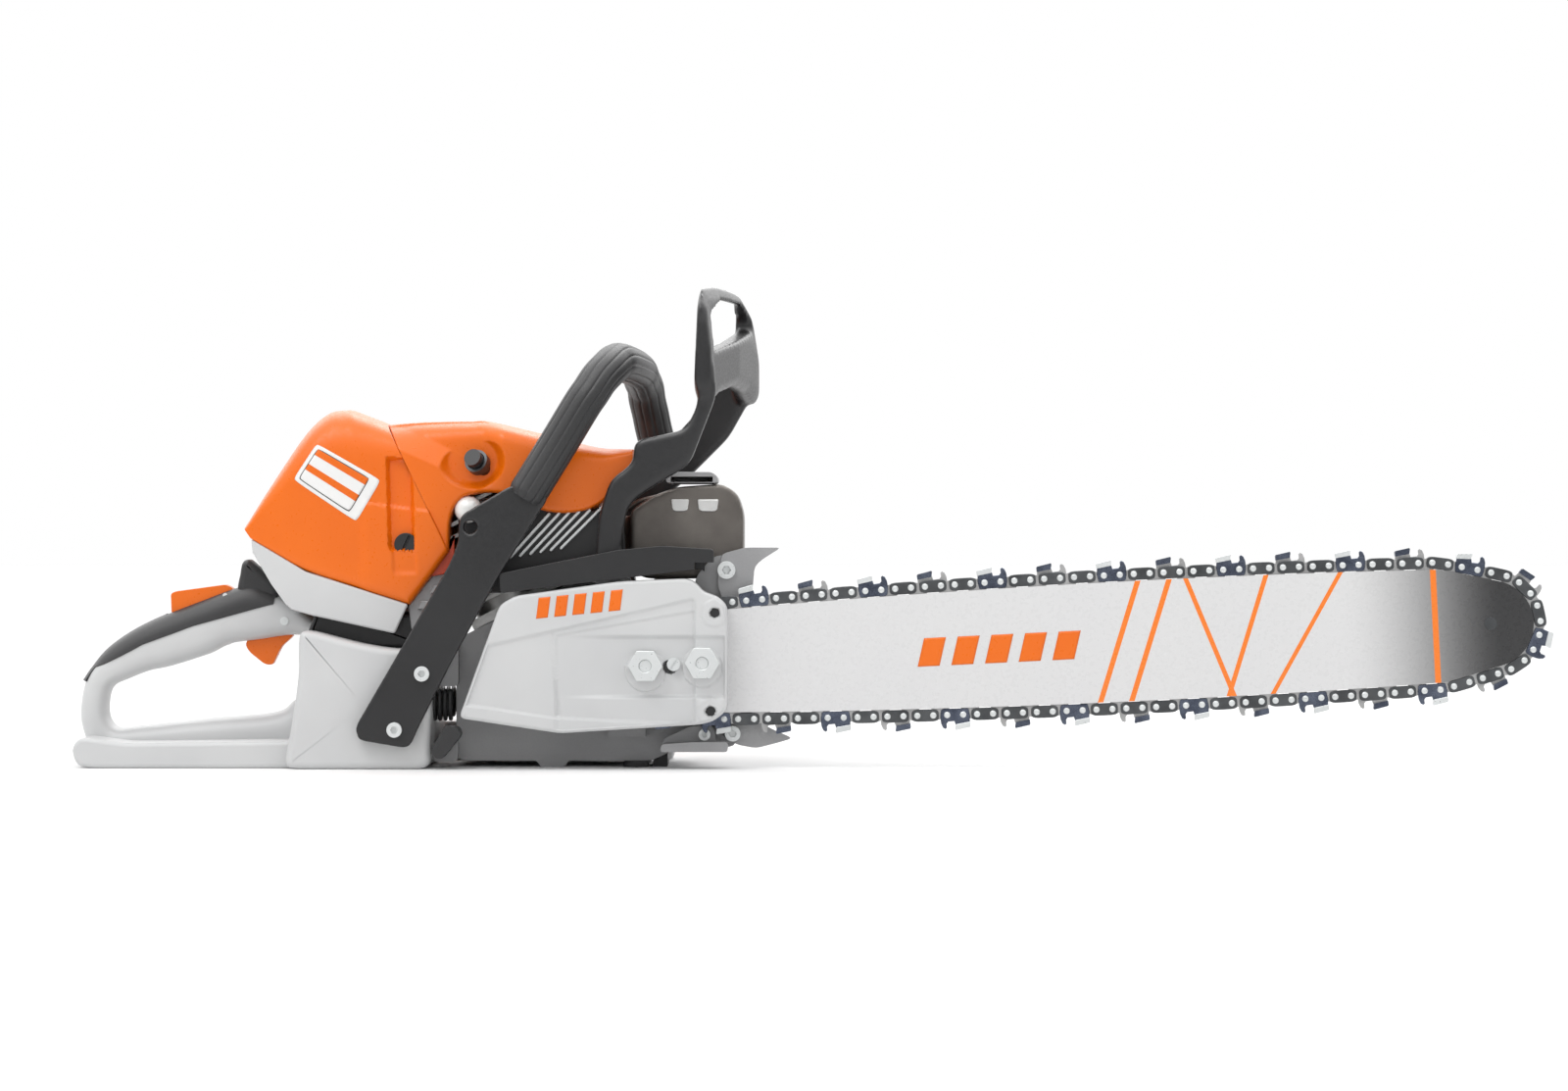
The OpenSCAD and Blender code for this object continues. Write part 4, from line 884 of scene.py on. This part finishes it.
layers = [("cover_label", (0, 1, 0, 1), "label_film"), ("label_frame", (0.05, 0.86, 0.08, 0.92), "black_plastic"),
          ("label_field", (0.06, 0.85, 0.10, 0.90), "label_film")]
for layer, (name, extent, material) in enumerate(layers, 1):
    pressed_on(name, label_grid(*extent), material, layer, cover_piece, "air_cover")
for number, start in enumerate((0.10, 0.50)):
    bar = label_grid(0.06, 0.85, start, start + 0.15, rounding=0)
    pressed_on("label_bar_%d" % number, bar, "orange_plastic", 4, cover_piece, "air_cover")
print("label: one film, a frame and two bars")

# %% [markdown]
# Four things show between the bracket and the shroud: the white ignition boot over the spark plug, the
# bright slanted edges of the cylinder's fins, the black air guide behind them, and a black sheet under the
# filter cover that is painted shade: it fills the dark gaps there and stands for no real part.
# %% Boot, fin edges and air guide
def dome(x, y, z, radius, length):
    """A boot: a cylinder along Y whose near end is a half sphere, radius * sin(t) across at
    radius * (1 - cos(t)) behind its tip."""
    t = np.linspace(np.pi / 2, 0, 28)
    depth = np.concatenate([[y + length], y + radius * (1 - np.cos(t))])
    reach = np.concatenate([[radius], np.maximum(radius * np.sin(t), 2e-5)])
    a = around(48)
    return np.stack([x + reach[:, None] * np.cos(a), np.repeat(depth[:, None], len(a), axis=1),
                     z + reach[:, None] * np.sin(a)], axis=-1)


boot_grid = dome(-0.0535, -0.0625, 0.1655, 0.0088, 0.03)
register("ignition_boot", grid_mesh(boot_grid), "ceramic_white")


def bar_between(start, end, width, y0, y1):
    """A slanted strip from start to end (x, z), square to its run, between two depths."""
    p, q = np.array(start, float), np.array(end, float)
    across = np.array([-(q - p)[1], (q - p)[0]])
    across *= width / 2 / np.linalg.norm(across)
    return pillow(soft_outline([p - across, q - across, q + across, p + across], width * 0.3, 60), y0, y1, 0.0004)


for number, x in enumerate((-27, -20.5, -14, -7.5, -1, 5.5)):
    fin = bar_between((x, 134 + number * 1.2), (x + 26, 163 + number * 0.6), 1.8, -0.0555, -0.0508)
    register("fin_edge_%d" % number, fin, "zinc_steel")
soft_slab("air_guide", [(-60, 112), (-60, 166), (-44, 172), (22, 166), (46, 160), (48, 126), (20, 122), (-30, 112)], 4,
          -0.0512, -0.048, 0.001, "black_plastic")
# A black sheet of painted shade, filling the dark gaps under the filter cover.
soft_slab("shade_sheet_under_cover", [(-158, 84), (-118, 76), (-80, 76), (-84, 100), (-120, 98), (-150, 106)], 3,
          -0.046, 0.046, 0.003, "black_plastic")
print("boot, six fin edges and air guide")

# %% [markdown]
# Behind the bracket the filter housing shows a strip of grey die casting with small square ribs. Beside it
# a sliver of orange plastic deep in shade is drawn with painted shade: a darker red-orange copy of the orange.
# %% Cast strip and painted-shade orange sliver
soft_slab("cast_strip", [(-92, 104), (-66, 136), (-58, 136), (-74, 92), (-90, 88)], 2, -0.052, -0.046, 0.001,
          "cast_alloy")
for number, (x, z) in enumerate(((-82, 104), (-74, 114), (-67, 124))):
    soft_slab("cast_rib_%d" % number, [(x - 4, z - 3), (x + 4, z - 3), (x + 5, z + 3), (x - 2, z + 3)], 1,
              -0.0545, -0.050, 0.0008, "cast_alloy")
# Orange plastic in shadow, drawn with painted shade as a darker red-orange.
soft_slab("shaded_orange_sliver", [(-80, 122), (-65, 141), (-62, 150), (-62, 134), (-68, 124)], 2, -0.0565, -0.0525, 0.0008,
          "shaded_orange_plastic")
print("strip, three ribs, shaded sliver")

# %% [markdown]
# Where a maker would print a name, this saw has five plain slanted stripes: on the sprocket cover and,
# larger, on the bar. They are thin films pressed on to the surface like the label.
# %% Plain stripes
def stripes(name, start, step, width, height, slant, target, body, tilt):
    """Five slanted four-sided films, each width by height, leaning by slant and all turned by tilt."""
    u, v = np.meshgrid(np.linspace(0, 1, 8), np.linspace(0, 1, 12))
    c, s = math.cos(tilt), math.sin(tilt)
    for number in range(5):
        across, rise = number * step + u * width + v * slant, v * height
        x, z = start[0] + across * c - rise * s, start[1] + across * s + rise * c
        grid = np.stack([x, np.full(u.shape, in_front), z], axis=-1)
        pressed_on("%s_%d" % (name, number), grid, "orange_plastic", 1, target, body)


guide_bar = nodes["guide_bar"]
stripes("cover_stripe", (-0.008, 0.0960), 0.0115, 0.0075, 0.013, 0.003, sprocket, "saw", 0.10)
stripes("bar_stripe", (0.234, 0.0650), 0.0215, 0.014, 0.018, 0.005, guide_bar, body_of["guide_bar"], bar_tilt)
print("ten stripes")

# %% [markdown]
# The muffler is two pressed shells crimped together, so a rim runs round it; two rounded tabs clamp
# the exhaust deflector.
# %% Muffler rim and tabs
near_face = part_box("muffler")[0][1]
rim_path = smooth_curve(np.array([(46, 165), (58, 171.5), (80, 175), (104, 173), (114, 165), (117.5, 152),
                                  (117.8, 140)]) * mm, 90)
rim_path = at_depth(rim_path, near_face + 0.012)
rim_grid = swept(rim_path, lambda a: np.full(a.shape, 0.0016), around(12))
register("muffler_rim", grid_mesh(rim_grid), "muffler_paint")
for number, (x0, x1) in enumerate(((76, 88), (93, 107))):
    tab = [(x0, 172), (x0 + 1, 165), (x0 + 3, 164), (x1 - 3, 164), (x1 - 1, 165), (x1, 172)]
    soft_slab("deflector_tab_%d" % number, tab, 1.6, near_face - 0.0012, near_face + 0.004, 0.0008, "bright_alloy")
print("muffler face at y", round(near_face, 4))

# %% [markdown]
# The chain is made of a few small shapes repeated: straps, cutters and rivet heads. Where each one goes
# is read from the CAD rivets: every rivet has the same number of points, so their middles come from one
# reshaped array. A strap spans from one rivet to the next, and that run gives its direction.
# %% Chain positions
rivet_count = 144
rivet_mesh = nodes["chain_rivets"].data
rivet_points = np.empty(len(rivet_mesh.vertices) * 3)
rivet_mesh.vertices.foreach_get("co", rivet_points)
rivet_points = rivet_points.reshape(rivet_count, -1, 3)
rivet_middle = ((rivet_points.min(axis=1) + rivet_points.max(axis=1)) / 2)[:, (0, 2)]
link_start, link_end = rivet_middle[1::2], np.roll(rivet_middle, -2, axis=0)[0::2]
link_middle = (link_start + link_end) / 2
link_along = link_end - link_start
link_gap = np.linalg.norm(link_along, axis=1)
link_along /= link_gap[:, None]
link_out = np.column_stack([-link_along[:, 1], link_along[:, 0]])
print("links", len(link_gap), "gap", link_gap.min().round(5), "to", link_gap.max().round(5))


# %% [markdown]
# Each shape is an outline in the chain's own directions, u along the run and v away from the bar, with a
# depth y across the chain. It is written once and then set down at every place it is needed. A cutter has
# a low fin in front that limits how deep it bites, and a top plate that leans across the chain.
# %% Chain shapes
def repeated(name, rows, middle, along, out, material, replaces=()):
    """The closed shape rows[ring, corner, (u, y, v)] at many places: middle + u * along + v * out."""
    shape = np.stack(rows) * mm
    u, y, v = (shape[None, ..., k] for k in range(3))
    part = [value[:, None, None, :] for value in (middle, along, out)]
    x, z = (part[0][..., k] + u * part[1][..., k] + v * part[2][..., k] for k in (0, 1))
    points = np.stack([x, np.broadcast_to(bar_plane_y + y, x.shape), z], axis=-1)
    rings, corners = shape.shape[:2]
    quads, first, last = grid_faces(rings, corners)
    offset = np.arange(len(middle))[:, None] * rings * corners
    faces = (quads + offset[..., None]).reshape(-1, 4).tolist() + (first + offset).tolist() + (last + offset).tolist()
    mesh = bpy.data.meshes.new(name)
    mesh.from_pydata(points.reshape(-1, 3).tolist(), [], faces)
    return register(name, tidy(mesh), material, body_of["chain_rivets"], replaces)


def slab(outline, y_out, y_in):
    """Three rings: the outline drawn in a little at the outer face, then full to the inner face."""
    p = np.array(outline, float)
    sign, edge = np.sign(y_out - y_in), 0.25
    return [at_depth(inward(p, edge), y_out), at_depth(p, y_out - sign * edge), at_depth(p, y_in)]


strap_c, strap_s = superellipse(around(32), 4.5)
strap_outline = np.column_stack([8.6 * strap_c, 3.9 * strap_s])
cutter_outline = [(-8.6, -3.6), (-7.8, -4.0), (7.8, -4.0), (8.8, -3.2), (9.4, 0), (9.4, 3.0), (9.1, 5.5), (8.0, 8.0),
                  (6.5, 8.9), (5.5, 8.2), (5.6, 5.6), (4.6, 4.3), (0.6, 4.0), (0.0, 6.2), (-9.2, 5.4), (-9.5, 1)]
plate_outline = [(-9.5, 4.6), (-0.4, 6.0), (0.1, 9.1), (-0.3, 9.8), (-9.2, 8.1), (-9.7, 7.3)]
number_of = np.arange(len(link_middle))
near_cutter, far_cutter = number_of % 4 == 0, number_of % 4 == 2
outer, inner = 2.1, 0.9
for side, cutters, word in ((-1, near_cutter, "near"), (1, far_cutter, "far")):
    places = {"strap": ~cutters, "cutter": cutters}
    plate_finish = "zinc_steel" if side < 0 else "cutter_chrome"
    body_finish = "cutter_chrome" if side < 0 else "drive_steel"
    for kind, outline, material, y_out, y_in in (
            ("strap", strap_outline, "chain_steel", side * outer, side * inner),
            ("cutter", cutter_outline, body_finish, side * outer, side * inner),
            ("cutter_plate", plate_outline, plate_finish, side * 2.75, side * -1.6)):
        chosen = places[kind.split("_")[0]]
        node = {"strap": "chain_tie_straps", "cutter": "chain_cutters"}.get(kind)
        piece = repeated("chain_%s_%s" % (kind, word), slab(outline, y_out, y_in), link_middle[chosen],
                         link_along[chosen], link_out[chosen], material, [node] if node else ())
        print(piece.name, int(chosen.sum()), "of them")

ring_c, ring_s = superellipse(around(14), 2)
head_profile = [(2.0, 0.0), (2.0, 2.2), (1.85, 2.3), (1.7, 2.2), (1.5, 2.45), (0.8, 2.6)]
rivet_along = np.repeat(link_along, 2, axis=0)
rivet_out = np.repeat(link_out, 2, axis=0)
for side, word in ((-1, "near"), (1, "far")):
    rows = [at_depth(r * np.column_stack([ring_c, ring_s]), side * y) for r, y in head_profile]
    repeated("chain_rivet_" + word, rows, rivet_middle, rivet_along, rivet_out, "zinc_steel", ["chain_rivets"])
print("rivet heads", 2 * rivet_count)
